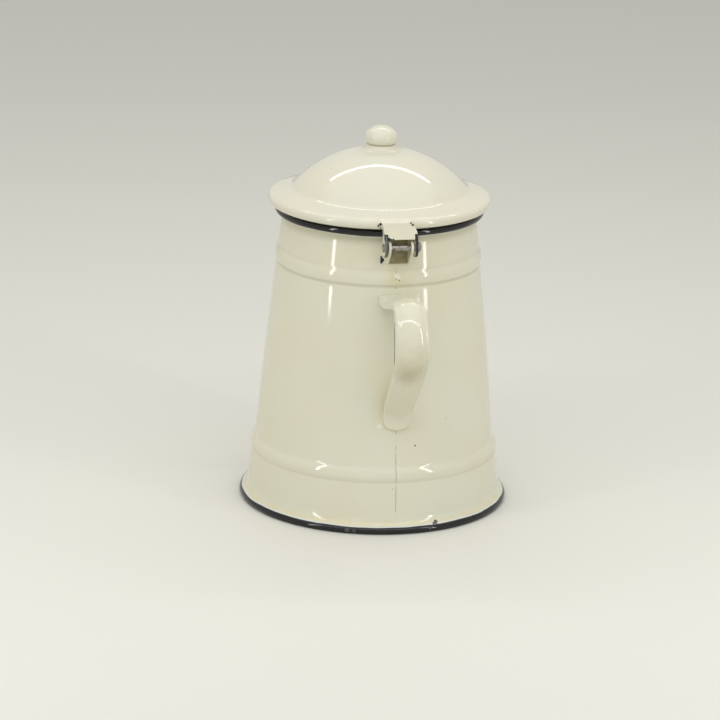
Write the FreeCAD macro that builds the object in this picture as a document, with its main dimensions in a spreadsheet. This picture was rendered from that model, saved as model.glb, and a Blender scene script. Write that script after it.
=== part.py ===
import FreeCAD, Part
import Sketcher
import math
import os

# Enamelled steel coffee pot with a hinged lid, in millimetres.
#
# The origin is the centre of the foot on the table. +Z is up, the spout points
# to +X, and the handle and the hinge stand at -X. Every body keeps this frame.
# Heights are measured from the table and radii from the pot's own axis.

DIMENSIONS = [
    # Sheet and rolled edges
    ("wall", 1.0, "steel sheet with its enamel"),
    ("wire_gap", 0.05, "play of a wire in its rolled edge"),
    ("seat_gap", 0.3, "enamel clearance where the lid rests"),
    # Foot and skirt
    ("foot_flare", 6.9, "how far the foot flares out past the skirt"),
    ("foot_roll", 2.3, "radius of the rolled foot edge"),
    ("foot_flat", 0.15, "wear that flattens the foot"),
    ("foot_curl_end", 150.0, "where the foot's curl ends, from outward"),
    ("flare_bend", 12.0, "bend radius between skirt and flare"),
    ("skirt_radius", 66.9, "radius of the upright skirt"),
    ("skirt_start", 16.5, "height where the upright skirt starts"),
    # Tapered wall and its two rolled beads
    ("low_bead_start", 28.0, "height where the lower bead starts"),
    ("low_bead_end", 35.6, "height where the lower bead ends"),
    ("low_bead_bend", 5.6, "section radius of the lower bead"),
    ("low_bead_inset", 1.25, "how far the wall steps in over the lower bead"),
    ("high_bead_start", 134.0, "height where the upper bead starts"),
    ("high_bead_end", 142.6, "height where the upper bead ends"),
    ("high_bead_bend", 9.8, "section radius of the upper bead"),
    ("neck_radius", 53.4, "wall radius under the rim"),
    ("neck_start", 157.6, "height where the taper ends"),
    # Mouth
    ("rim_height", 162.9, "height of the rim wire"),
    ("mouth_roll", 2.3, "radius of the rolled mouth edge"),
    ("mouth_curl_end", 120.0, "where the rim's curl ends, below outward"),
    # Bottom
    ("bottom_height", 10.0, "underside of the bottom over the table"),
    ("bottom_bend", 3.0, "corner radius of the bottom"),
    ("bottom_lap", 2.5, "how far the bottom's flange laps the upright skirt"),
    ("bottom_dish", 1.2, "how far the bottom's middle is pressed up"),
    ("bottom_ledge", 8.9, "width of the flat ledge round the pressed middle"),
    # Strainer holes behind the spout
    ("strainer_height", 60.0, "height of the middle row of holes"),
    ("strainer_pitch", 7.6, "spacing of the strainer holes"),
    ("strainer_hole", 2.5, "radius of a strainer hole"),
    # Spout: centre line, half widths and half depths of its sections
    ("spout_wall", 1.2, "spout sheet with its enamel"),
    ("spout_root_reach", 48.0, "centre of the root section from the axis"),
    ("spout_root_height", 50.0, "height of the root section"),
    ("spout_throat_reach", 70.0, "centre of the throat section"),
    ("spout_throat_height", 66.0, "height of the throat section"),
    ("spout_bend_reach", 84.5, "centre of the bend section"),
    ("spout_bend_height", 88.0, "height of the bend section"),
    ("spout_neck_reach", 93.5, "centre of the neck section"),
    ("spout_neck_height", 114.0, "height of the neck section"),
    ("spout_upper_reach", 100.0, "centre of the upper section"),
    ("spout_upper_height", 137.0, "height of the upper section"),
    ("spout_tip_reach", 107.5, "centre of the mouth of the spout"),
    ("spout_tip_height", 154.0, "height of the mouth of the spout"),
    ("spout_root_lean", 28.0, "slope of the spout at its root"),
    ("spout_throat_lean", 46.0, "slope at the throat section"),
    ("spout_bend_lean", 64.0, "slope at the bend section"),
    ("spout_neck_lean", 75.0, "slope at the neck section"),
    ("spout_upper_lean", 71.0, "slope at the upper section"),
    ("spout_tip_lean", 62.0, "slope at the mouth"),
    ("spout_root_width", 17.0, "half width of the root section"),
    ("spout_root_depth", 20.0, "half depth of the root section"),
    ("spout_tip_width", 7.2, "half width of the mouth"),
    ("spout_tip_depth", 7.8, "half depth of the mouth"),
    # Handle strap: corners of its outer line, seen from the side
    ("strap_wall", 1.3, "handle sheet with its enamel"),
    ("strap_half_width", 7.9, "half width of the strap"),
    ("strap_depth", 6.0, "depth of the channel section"),
    ("strap_crown", 0.9, "rise of the strap's crowned back"),
    ("strap_corner", 2.5, "rounding of the strap's shoulders"),
    ("strap_sink", 4.2, "how far the strap starts inside the wall line"),
    ("strap_start_height", 130.2, "height of the strap where it starts"),
    ("strap_top_reach", 103.7, "upper corner of the handle"),
    ("strap_top_height", 134.8, "upper corner of the handle"),
    ("strap_top_bend", 19.0, "bend at the upper corner"),
    ("strap_elbow_reach", 100.85, "lower corner of the grip"),
    ("strap_elbow_height", 97.9, "lower corner of the grip"),
    ("strap_elbow_bend", 10.0, "bend at the lower corner"),
    ("strap_stand", 2.45, "outer face of the strap's lower end off the wall"),
    ("strap_foot_height", 64.4, "corner where the strap turns down the wall"),
    ("strap_foot_bend", 8.0, "bend at the wall"),
    ("strap_end_height", 54.5, "lower end of the strap"),
    ("fishtail_half_width", 10.8, "half width of the flattened root"),
    ("fishtail_length", 24.0, "length over which the root widens"),
    ("fishtail_straight", 5.5, "length of the root's straight sides"),
    ("fishtail_sweep", 46.0, "radius of the root's hollow sides"),
    # Hinge
    ("pin_offset", 7.6, "hinge pin beyond the neck"),
    ("pin_drop", 6.3, "hinge pin under the rim wire"),
    ("pin_radius", 1.5, "radius of the hinge pin"),
    ("pin_head_radius", 2.7, "radius of the domed head"),
    ("pin_head_height", 2.0, "height of the domed head"),
    ("pin_tail_radius", 2.2, "radius of the hammered end"),
    ("pin_tail_height", 0.6, "height of the hammered end"),
    ("pin_play", 0.06, "running clearance round the pin"),
    ("side_play", 2.0, "room between ears and bracket"),
    ("head_play", 0.1, "play of the pin's heads on the ears"),
    ("cheek_half_width", 6.9, "half width over the bracket's cheeks"),
    ("cheek_wall", 1.7, "thickness of a cheek"),
    ("cheek_radius", 4.2, "rounding of a cheek about the pin"),
    ("bracket_drop", 10.3, "lower edge of the bracket under the pin"),
    ("bracket_rise", 3.6, "upper edge of the bracket over the pin"),
    ("bracket_plate", 1.1, "thickness of the bracket's back"),
    ("bracket_foot", 5.7, "height of the bracket's feet"),
    ("bracket_foot_angle", 10.4, "half angle over the bracket's feet"),
    ("bracket_back_angle", 7.2, "half angle over the bracket's back"),
    ("ear_wall", 1.45, "thickness of an ear"),
    ("ear_radius", 5.1, "rounding of an ear about the pin"),
    ("ear_inner", 3.9, "inner edge of an ear from the pin"),
    ("leaf_wall", 1.5, "thickness of the leaf"),
    ("leaf_lip_offset", 3.7, "outer face of the leaf beyond the pin"),
    ("leaf_lip_rise", 5.1, "lower edge of the leaf over the pin"),
    ("leaf_lap", 6.2, "how far the leaf laps over the lid"),
    ("leaf_root_rise", 6.35, "start of the leaf over the roll's centre"),
    # Lid
    ("lid_overhang", 3.8, "how far the lid reaches past the mouth's roll"),
    ("lid_roll", 2.9, "radius of the lid's rolled edge"),
    ("lid_lip_lift", 0.35, "rolled edge over the collar's flange"),
    ("lid_roll_start", 62.0, "where the brim meets its roll, above outward"),
    ("lid_curl_end", 105.0, "where the lid's curl ends, below outward"),
    ("brim_width", 12.8, "width of the brim from its inner edge"),
    ("brim_rise", 7.15, "brim's inner edge over the roll's centre"),
    ("brim_slope", 16.4, "slope of the brim at its inner edge"),
    ("brim_bow", 60.0, "section radius of the brim"),
    ("dome_inset", 2.1, "dome's foot inside the brim's inner edge"),
    ("dome_foot_rise", 8.45, "dome's foot over the roll's centre"),
    ("dome_blend", 5.0, "hollow between dome and brim"),
    ("dome_height", 19.4, "dome over its own foot"),
    # Collar inside the mouth
    ("collar_play", 2.2, "room between collar and neck"),
    ("collar_wall", 0.8, "thickness of the collar"),
    ("collar_depth", 5.0, "how far the collar reaches into the mouth"),
    ("collar_step", 0.6, "where the flange steps up, beyond the rim wire"),
    ("collar_flange", 0.3, "flange's edge beyond the centre of the lid's roll"),
    ("collar_bend", 1.2, "bend between collar and flange"),
    # Knob
    ("knob_radius", 8.7, "radius of the knob"),
    ("knob_half_height", 6.5, "crown of the knob over its widest part"),
    ("knob_shoulder", 5.0, "section radius of the knob's side"),
    ("knob_lift", 5.8, "knob's widest part over the dome's top"),
    ("knob_tuck", 45.0, "how far the knob's side turns under"),
    ("knob_fillet", 1.2, "hollow between knob and base"),
    ("knob_base", 9.4, "radius of the knob's base"),
    ("knob_bore", 6.0, "radius of the opening under the knob"),
    ("knob_wall", 1.2, "knob sheet with its enamel"),
    ("stud_radius", 2.0, "radius of the stud that holds the knob"),
    ("stud_head", 4.6, "radius of the stud's hammered head"),
    ("stud_head_height", 1.3, "height of the stud's hammered head"),
]

STRAINER_ROWS = [2, 3, 2, 3, 2]
NUMBERS = {name: value for name, value, meaning in DIMENSIONS}
SHEET = "Dimensions"


class Size:
    """A length or angle: its number, and the formula that ties it to the sheet."""

    def __init__(self, number, formula):
        self.number = number
        self.formula = formula

    def combined(self, sign, other, number):
        return Size(number, "(%s %s %s)" % (self.formula, sign, as_size(other).formula))

    def __add__(self, other):
        return self.combined("+", other, self.number + as_size(other).number)

    def __sub__(self, other):
        return self.combined("-", other, self.number - as_size(other).number)

    def __mul__(self, other):
        return self.combined("*", other, self.number * as_size(other).number)

    def __truediv__(self, other):
        return self.combined("/", other, self.number / as_size(other).number)

    def __rsub__(self, other):
        return as_size(other) - self

    def __radd__(self, other):
        return as_size(other) + self

    def __rmul__(self, other):
        return as_size(other) * self

    def __rtruediv__(self, other):
        return as_size(other) / self

    def __neg__(self):
        return Size(-self.number, "(0 - %s)" % self.formula)


def as_size(value):
    """A plain number as a Size, and a Size as it is."""
    return value if isinstance(value, Size) else Size(float(value), repr(value))


def size(name):
    """A driving dimension, by its name in the sheet."""
    return Size(NUMBERS[name], "%s.%s" % (SHEET, name))


def sine(angle):
    angle = as_size(angle)
    return Size(math.sin(math.radians(angle.number)), "sin(%s)" % angle.formula)


def cosine(angle):
    angle = as_size(angle)
    return Size(math.cos(math.radians(angle.number)), "cos(%s)" % angle.formula)


def tangent(angle):
    angle = as_size(angle)
    return Size(math.tan(math.radians(angle.number)), "tan(%s)" % angle.formula)


def root(value):
    return Size(math.sqrt(value.number), "sqrt(%s)" % value.formula)


def arc_cosine(value):
    return Size(math.degrees(math.acos(value.number)), "(acos(%s) / 1 deg)" % value.formula)


def slope_of(run, rise):
    """The angle of a line that goes this far along and this far up, in degrees."""
    angle = math.degrees(math.atan2(rise.number, run.number))
    return Size(angle, "(atan2(%s; %s) / 1 deg)" % (rise.formula, run.formula))


def polar(centre, radius, angle):
    """The point at a radius and an angle about a centre."""
    return (centre[0] + radius * cosine(angle), centre[1] + radius * sine(angle))


class Bend:
    """A rounded stretch of an outline between two corners."""

    def __init__(self, radius, leftward, is_long=False):
        self.radius = as_size(radius)
        self.leftward = leftward
        self.is_long = is_long


# Sketch and feature helpers

def new_body(label):
    body = DOC.addObject("PartDesign::Body", label)
    body.Label = label
    return body


def plane_of(body, role):
    """The body's own origin plane with this role."""
    for feature in body.Origin.OriginFeatures:
        if feature.Role == role:
            return feature
    raise ValueError(role)


def new_sketch(body, name, role="XZ_Plane"):
    sketch = body.newObject("Sketcher::SketchObject", name)
    sketch.AttachmentSupport = [(plane_of(body, role), "")]
    sketch.MapMode = "FlatFace"
    return sketch


def bend_geometry(start, end, bend):
    """The arc between two points, as a counterclockwise edge and its direction."""
    radius = bend.radius.number
    step = end - start
    middle = (start + end) * 0.5
    rise = math.sqrt(max(radius ** 2 - (step.Length / 2) ** 2, 0.0))
    to_left = FreeCAD.Vector(-step.y, step.x, 0).normalize()
    side = 1.0 if bend.leftward != bend.is_long else -1.0
    centre = middle + to_left * (rise * side)
    first, last = (start, end) if bend.leftward else (end, start)
    angle_first = math.atan2(first.y - centre.y, first.x - centre.x)
    angle_last = math.atan2(last.y - centre.y, last.x - centre.x)
    if angle_last < angle_first:
        angle_last += 2 * math.pi
    circle = Part.Circle(centre, FreeCAD.Vector(0, 0, 1), radius)
    return Part.ArcOfCircle(circle, angle_first, angle_last)


def bind_point(sketch, edge, end, point):
    """Hold one end of an edge at a point whose sizes come from the sheet."""
    for kind, axis, coordinate in (("DistanceX", -2, point[0]), ("DistanceY", -1, point[1])):
        coordinate = as_size(coordinate)
        if coordinate.formula in ("0", "0.0"):
            sketch.addConstraint(Sketcher.Constraint("PointOnObject", edge, end, axis))
            continue
        held = Sketcher.Constraint(kind, -1, 1, edge, end, coordinate.number)
        index = sketch.addConstraint(held)
        sketch.setExpression("Constraints[%d]" % index, coordinate.formula)


def outline(sketch, corners, bends=None, closed=True):
    """Draw lines and arcs through the corners, each corner tied to the sheet.

    bends maps the number of an edge to its Bend; the other edges are straight.
    """
    bends = bends or {}
    points = [FreeCAD.Vector(as_size(x).number, as_size(y).number, 0) for x, y in corners]
    count = len(points) if closed else len(points) - 1
    ends = []
    for number in range(count):
        start = points[number]
        end = points[(number + 1) % len(points)]
        bend = bends.get(number)
        if bend is None:
            edge = sketch.addGeometry(Part.LineSegment(start, end), False)
        else:
            edge = sketch.addGeometry(bend_geometry(start, end, bend), False)
        turned = bend is not None and not bend.leftward
        ends.append((edge, 2, 1) if turned else (edge, 1, 2))
    for number in range(count):
        edge, first, last = ends[number]
        if closed or number + 1 < count:
            following = ends[(number + 1) % count]
            joint = Sketcher.Constraint("Coincident", edge, last, following[0], following[1])
            sketch.addConstraint(joint)
        bind_point(sketch, edge, first, corners[number])
        if number in bends:
            index = sketch.addConstraint(
                Sketcher.Constraint("Radius", edge, bends[number].radius.number))
            sketch.setExpression("Constraints[%d]" % index, bends[number].radius.formula)
    if not closed:
        bind_point(sketch, ends[-1][0], ends[-1][2], corners[-1])
    return sketch


def circle(sketch, centre, radius):
    """Draw a circle whose centre and radius come from the sheet."""
    middle = FreeCAD.Vector(as_size(centre[0]).number, as_size(centre[1]).number, 0)
    shape = Part.Circle(middle, FreeCAD.Vector(0, 0, 1), radius.number)
    edge = sketch.addGeometry(shape, False)
    index = sketch.addConstraint(Sketcher.Constraint("Radius", edge, radius.number))
    sketch.setExpression("Constraints[%d]" % index, radius.formula)
    bind_point(sketch, edge, 3, centre)


def rounded_path(sketch, corners, radii):
    """Draw an open path of straight runs, rounded at each inner corner.

    Each run passes through its two corners, and each bend touches both runs.
    """
    points = [FreeCAD.Vector(as_size(x).number, as_size(y).number, 0) for x, y in corners]
    starts = [points[0]]
    ends = []
    for number, radius in enumerate(radii):
        before, here, after = points[number:number + 3]
        back = (before - here).normalize()
        ahead = (after - here).normalize()
        half = math.acos(max(-1.0, min(1.0, back.dot(ahead)))) / 2
        reach = radius.number / math.tan(half)
        ends.append(here + back * reach)
        starts.append(here + ahead * reach)
    ends.append(points[-1])
    runs = [sketch.addGeometry(Part.LineSegment(a, b), False) for a, b in zip(starts, ends)]
    bind_point(sketch, runs[0], 1, corners[0])
    bind_point(sketch, runs[-1], 2, corners[-1])
    for number, radius in enumerate(radii):
        corner = sketch.addGeometry(Part.Point(points[number + 1]), True)
        bind_point(sketch, corner, 1, corners[number + 1])
        sketch.addConstraint(Sketcher.Constraint("PointOnObject", corner, 1, runs[number]))
        sketch.addConstraint(Sketcher.Constraint("PointOnObject", corner, 1, runs[number + 1]))
        start, end = ends[number], starts[number + 1]
        turn = (start - points[number]).cross(points[number + 2] - end).z
        bend = Bend(radius, turn > 0)
        edge = sketch.addGeometry(bend_geometry(start, end, bend), False)
        first, last = (1, 2) if bend.leftward else (2, 1)
        sketch.addConstraint(Sketcher.Constraint("Tangent", runs[number], 2, edge, first))
        sketch.addConstraint(Sketcher.Constraint("Tangent", edge, last, runs[number + 1], 1))
        index = sketch.addConstraint(Sketcher.Constraint("Radius", edge, radius.number))
        sketch.setExpression("Constraints[%d]" % index, radius.formula)
    return sketch


def revolve(body, name, sketch, kind="PartDesign::Revolution", half_angle=None):
    """Turn a profile round the pot's axis, all the way or by a half angle each side."""
    feature = body.newObject(kind, name)
    feature.Profile = sketch
    feature.ReferenceAxis = (sketch, ["V_Axis"])
    feature.Angle = 360.0
    if half_angle is not None:
        feature.Midplane = True
        feature.Angle = 2 * half_angle.number
        feature.setExpression("Angle", (2 * half_angle).formula)
    return feature


def extrude(body, name, sketch, kind, length, both_sides=False, backwards=False):
    """Pad or pocket a profile by a length from the sheet."""
    feature = body.newObject(kind, name)
    feature.Profile = sketch
    feature.Length = length.number
    feature.setExpression("Length", length.formula)
    if both_sides:
        feature.SideType = "Symmetric"
    feature.Reversed = backwards
    return feature


# Places that several pieces share

def shared_places():
    """Radii and heights worked out once from the driving dimensions."""
    places = {}
    wall = size("wall")
    places["cone_radius"] = size("skirt_radius") - size("low_bead_inset")
    rise = size("neck_start") - size("low_bead_end")
    taper = (size("neck_radius") - places["cone_radius"]) / rise
    places["cone_at"] = lambda height: (
        places["cone_radius"] + taper * (as_size(height) - size("low_bead_end")))
    foot_radius = size("skirt_radius") + size("foot_flare")
    places["foot_centre"] = (foot_radius - size("foot_roll"),
                             size("foot_roll") - size("foot_flat"))
    places["rim_centre"] = (size("neck_radius") - wall + size("mouth_roll"), size("rim_height"))
    seat = size("rim_height") + size("mouth_roll") + size("seat_gap")
    places["seat_height"] = seat
    mouth_radius = places["rim_centre"][0] + size("mouth_roll")
    places["lid_radius"] = mouth_radius + size("lid_overhang")
    places["lid_centre"] = (places["lid_radius"] - size("lid_roll"),
                            seat + size("lid_lip_lift") + size("lid_roll"))
    places["brim_radius"] = places["lid_radius"] - size("brim_width")
    places["dome_radius"] = places["brim_radius"] - size("dome_inset")
    foot = places["lid_centre"][1] + size("dome_foot_rise")
    places["dome_foot_height"] = foot
    places["dome_top"] = foot + size("dome_height")
    dome = (places["dome_radius"] * places["dome_radius"]
            + size("dome_height") * size("dome_height")) / (2 * size("dome_height"))
    places["dome_section"] = dome
    places["dome_at"] = lambda radius: (
        places["dome_top"] - dome + root(dome * dome - radius * radius))
    under = dome - wall
    places["dome_under"] = lambda radius: (
        places["dome_top"] - dome + root(under * under - radius * radius))
    places["knob_middle"] = places["dome_top"] + size("knob_lift")
    places["pin_reach"] = size("neck_radius") + size("pin_offset")
    places["pin_height"] = size("rim_height") - size("pin_drop")
    places["pin"] = (-places["pin_reach"], places["pin_height"])
    return places


def body_shell(at):
    """The tapered body: one sheet, rolled over a wire at mouth and foot."""
    body = new_body("body_shell")
    wall = size("wall")
    foot = at["foot_centre"]
    roll = size("foot_roll")
    hollow = roll - wall
    bend = size("flare_bend")
    skirt_bottom = size("skirt_start")
    bend_centre = (size("skirt_radius") + bend, skirt_bottom)
    run = bend_centre[0] - foot[0]
    rise = bend_centre[1] - foot[1]
    apart = root(run * run + rise * rise)
    lean = slope_of(run, rise) - arc_cosine((roll + bend) / apart)
    flare_low = polar(foot, roll, lean)
    flare_top = polar(bend_centre, bend, 180 + lean)
    inner_flare_top = polar(bend_centre, bend + wall, 180 + lean)
    flat = root(roll * roll - foot[1] * foot[1])
    rim = at["rim_centre"]
    rim_roll = size("mouth_roll")
    rim_hollow = rim_roll - wall
    curl_end = -size("mouth_curl_end")
    high = [size("high_bead_start"), size("high_bead_end")]
    cone_at = at["cone_at"]
    neck = size("neck_radius")
    skirt = size("skirt_radius")
    cone = at["cone_radius"]
    corners = [
        polar(foot, roll, size("foot_curl_end")),
        (foot[0] - flat, 0),
        (foot[0] + flat, 0),
        flare_low,
        flare_top,
        (skirt, skirt_bottom),
        (skirt, size("low_bead_start")),
        (cone, size("low_bead_end")),
        (cone_at(high[0]), high[0]),
        (cone_at(high[1]), high[1]),
        (neck, size("neck_start")),
        (neck, rim[1]),
        polar(rim, rim_hollow, curl_end),
        polar(rim, rim_roll, curl_end),
        (neck - wall, rim[1]),
        (neck - wall, size("neck_start")),
        (cone_at(high[1]) - wall, high[1]),
        (cone_at(high[0]) - wall, high[0]),
        (cone - wall, size("low_bead_end")),
        (skirt - wall, size("low_bead_start")),
        (skirt - wall, skirt_bottom),
        inner_flare_top,
        polar(foot, hollow, lean),
        polar(foot, hollow, size("foot_curl_end")),
    ]
    bends = {
        0: Bend(roll, True),
        2: Bend(roll, True),
        4: Bend(bend, False),
        6: Bend(size("low_bead_bend"), True),
        8: Bend(size("high_bead_bend"), True),
        11: Bend(rim_hollow, False, True),
        13: Bend(rim_roll, True, True),
        16: Bend(size("high_bead_bend"), False),
        18: Bend(size("low_bead_bend"), False),
        20: Bend(bend + wall, True),
        22: Bend(hollow, False, True),
    }
    profile = outline(new_sketch(body, "shell_profile"), corners, bends)
    revolve(body, "shell", profile)
    DOC.recompute()
    holes = new_sketch(body, "strainer_holes", "YZ_Plane")
    pitch = size("strainer_pitch")
    for row, count in enumerate(STRAINER_ROWS):
        up = size("strainer_height") + pitch * sine(60) * (row - (len(STRAINER_ROWS) - 1) / 2)
        for place in range(count):
            across = place - (count - 1) / 2
            side = pitch * across if across else 0
            circle(holes, (side, up), size("strainer_hole"))
    extrude(body, "strainer", holes, "PartDesign::Pocket", size("skirt_radius"), backwards=True)
    return body


def wire_ring(name, centre, radius):
    """A steel wire ring inside a rolled edge."""
    ring = DOC.addObject("Part::Torus", name)
    ring.Label = name
    ring.Radius1 = centre[0].number
    ring.setExpression("Radius1", centre[0].formula)
    ring.Radius2 = radius.number
    ring.setExpression("Radius2", radius.formula)
    ring.setExpression("Placement.Base.z", centre[1].formula)
    return ring


def bottom_disc(at):
    """The bottom: a shallow pan whose flange is welded inside the skirt."""
    body = new_body("bottom_disc")
    wall = size("wall")
    bend = size("bottom_bend")
    low = size("bottom_height")
    outer = size("skirt_radius") - wall
    top = size("skirt_start") + size("bottom_lap")
    dish = size("bottom_dish")
    middle = outer - bend - size("bottom_ledge")
    corners = [
        (0, low + dish),
        (middle - 2 * dish, low + dish),
        (middle, low),
        (outer - bend, low),
        (outer, low + bend),
        (outer, top),
        (outer - wall, top),
        (outer - wall, low + bend),
        (outer - bend, low + wall),
        (middle, low + wall),
        (middle - 2 * dish, low + dish + wall),
        (0, low + dish + wall),
    ]
    bends = {3: Bend(bend, True), 7: Bend(bend - wall, False)}
    revolve(body, "pan", outline(new_sketch(body, "pan_profile"), corners, bends))
    return body


def spout_sections():
    """Sections of the spout: centre, lean of its run, half width and half depth.

    The sections between root and mouth share the difference between the two.
    """
    names = ["root", "throat", "bend", "neck", "upper", "tip"]
    shares = [0.0, 0.25, 0.56, 0.80, 0.95, 1.0]
    sections = []
    for name, share in zip(names, shares):
        centre = (size("spout_%s_reach" % name), size("spout_%s_height" % name))
        width = size("spout_root_width") * (1 - share) + size("spout_tip_width") * share
        depth = size("spout_root_depth") * (1 - share) + size("spout_tip_depth") * share
        sections.append((name, centre, size("spout_%s_lean" % name), width, depth))
    return sections


def half_oval(sketch, width, depth, wall, side):
    """Half of a slightly ridged oval tube, open along the spout's middle plane."""
    outer = (width * width + depth * depth) / (2 * width)
    inner = outer - wall
    sunk = outer - width
    reach = root(inner * inner - sunk * sunk)
    corners = [(0, -depth), (0, depth), (0, reach), (0, -reach)]
    bends = {0: Bend(outer, side > 0), 2: Bend(inner, side < 0)}
    return outline(sketch, corners, bends)


def spout_half(at, label, side):
    """One pressed half of the spout, welded to its twin along the middle plane."""
    body = new_body(label)
    sketches = []
    for name, centre, lean, width, depth in spout_sections():
        sketch = new_sketch(body, "%s_%s" % (label, name), "YZ_Plane")
        sketch.AttachmentOffset = FreeCAD.Placement(
            FreeCAD.Vector(0, centre[1].number, centre[0].number),
            FreeCAD.Rotation(FreeCAD.Vector(1, 0, 0), -lean.number))
        sketch.setExpression("AttachmentOffset.Base.y", centre[1].formula)
        sketch.setExpression("AttachmentOffset.Base.z", centre[0].formula)
        sketch.setExpression("AttachmentOffset.Rotation.Angle", (-lean).formula)
        sketches.append(half_oval(sketch, width, depth, size("spout_wall"), side))
    loft = body.newObject("PartDesign::AdditiveLoft", label + "_tube")
    loft.Profile = sketches[0]
    loft.Sections = sketches[1:]
    loft.Ruled = False
    DOC.recompute()
    profile = envelope(body, label + "_wall", at, size("bottom_height"), size("high_bead_start"))
    revolve(body, label + "_seat", profile, "PartDesign::Groove")
    return body


def strap_corners(at):
    """Corners of the handle's outer line, as reach from the axis and height."""
    start = size("strap_start_height")
    foot = size("strap_foot_height")
    end = size("strap_end_height")
    stand = size("strap_stand")
    return [
        (at["cone_at"](start) - size("strap_sink"), start),
        (size("strap_top_reach"), size("strap_top_height")),
        (size("strap_elbow_reach"), size("strap_elbow_height")),
        (at["cone_at"](foot) + stand, foot),
        (at["cone_at"](end) + stand, end),
    ]


def strap_line(sketch, corners):
    """The outer line of the handle, seen from the side."""
    radii = [size("strap_%s_bend" % name) for name in ("top", "elbow", "foot")]
    return rounded_path(sketch, [(-reach, height) for reach, height in corners], radii)


def envelope(body, name, at, low, high):
    """The space inside the body's tapered wall, as a profile for cutting."""
    corners = [(0, low), (at["cone_at"](low), low), (at["cone_at"](high), high), (0, high)]
    return outline(new_sketch(body, name), corners)


def handle_strap(at):
    """The handle: a channel-section strap with a widened, flattened root."""
    body = new_body("handle_strap")
    places = strap_corners(at)
    line = strap_line(new_sketch(body, "strap_line"), places)
    half = size("strap_half_width")
    depth = size("strap_depth")
    crown = size("strap_crown")
    corner = size("strap_corner")
    wall = size("strap_wall")
    flat = half - corner
    shoulder = crown + corner
    corners = [
        (-half, -depth), (-half, -shoulder), (-flat, -crown), (flat, -crown),
        (half, -shoulder), (half, -depth), (half - wall, -depth), (half - wall, -shoulder),
        (flat, -(crown + wall)), (-flat, -(crown + wall)), (wall - half, -shoulder),
        (wall - half, -depth),
    ]
    back = (flat * flat + crown * crown) / (2 * crown)
    bends = {
        1: Bend(corner, False), 2: Bend(back, False), 3: Bend(corner, False),
        7: Bend(corner - wall, True), 8: Bend(back, True), 9: Bend(corner - wall, True),
    }
    section = outline(new_sketch(body, "strap_section", "YZ_Plane"), corners, bends)
    start = places[0]
    lean = slope_of(places[1][0] - start[0], places[1][1] - start[1])
    section.AttachmentOffset = FreeCAD.Placement(
        FreeCAD.Vector(0, start[1].number, -start[0].number),
        FreeCAD.Rotation(FreeCAD.Vector(1, 0, 0), lean.number))
    section.setExpression("AttachmentOffset.Base.y", start[1].formula)
    section.setExpression("AttachmentOffset.Base.z", (-start[0]).formula)
    section.setExpression("AttachmentOffset.Rotation.Angle", lean.formula)
    sweep = body.newObject("PartDesign::AdditivePipe", "strap")
    sweep.Profile = section
    sweep.Spine = (line, [])
    DOC.recompute()
    wide = size("fishtail_half_width")
    straight = size("fishtail_straight")
    length = size("fishtail_length")
    tail = [
        (0, -wide), (0, wide), (-straight, wide), (-length, half - wall),
        (-length, wall - half), (-straight, -wide),
    ]
    sides = {2: Bend(size("fishtail_sweep"), False), 4: Bend(size("fishtail_sweep"), False)}
    plate = outline(new_sketch(body, "fishtail_plan", "XY_Plane"), tail, sides)
    plate.AttachmentOffset = FreeCAD.Placement(
        FreeCAD.Vector(-start[0].number, 0, start[1].number - crown.number),
        FreeCAD.Rotation(FreeCAD.Vector(0, 1, 0), lean.number))
    plate.setExpression("AttachmentOffset.Base.x", (-start[0]).formula)
    plate.setExpression("AttachmentOffset.Base.z", (start[1] - crown).formula)
    plate.setExpression("AttachmentOffset.Rotation.Angle", lean.formula)
    extrude(body, "fishtail", plate, "PartDesign::Pad", wall, backwards=True)
    DOC.recompute()
    low = size("low_bead_end")
    high = size("high_bead_start")
    revolve(body, "wall_seat", envelope(body, "wall_profile", at, low, high), "PartDesign::Groove")
    return body


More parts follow.
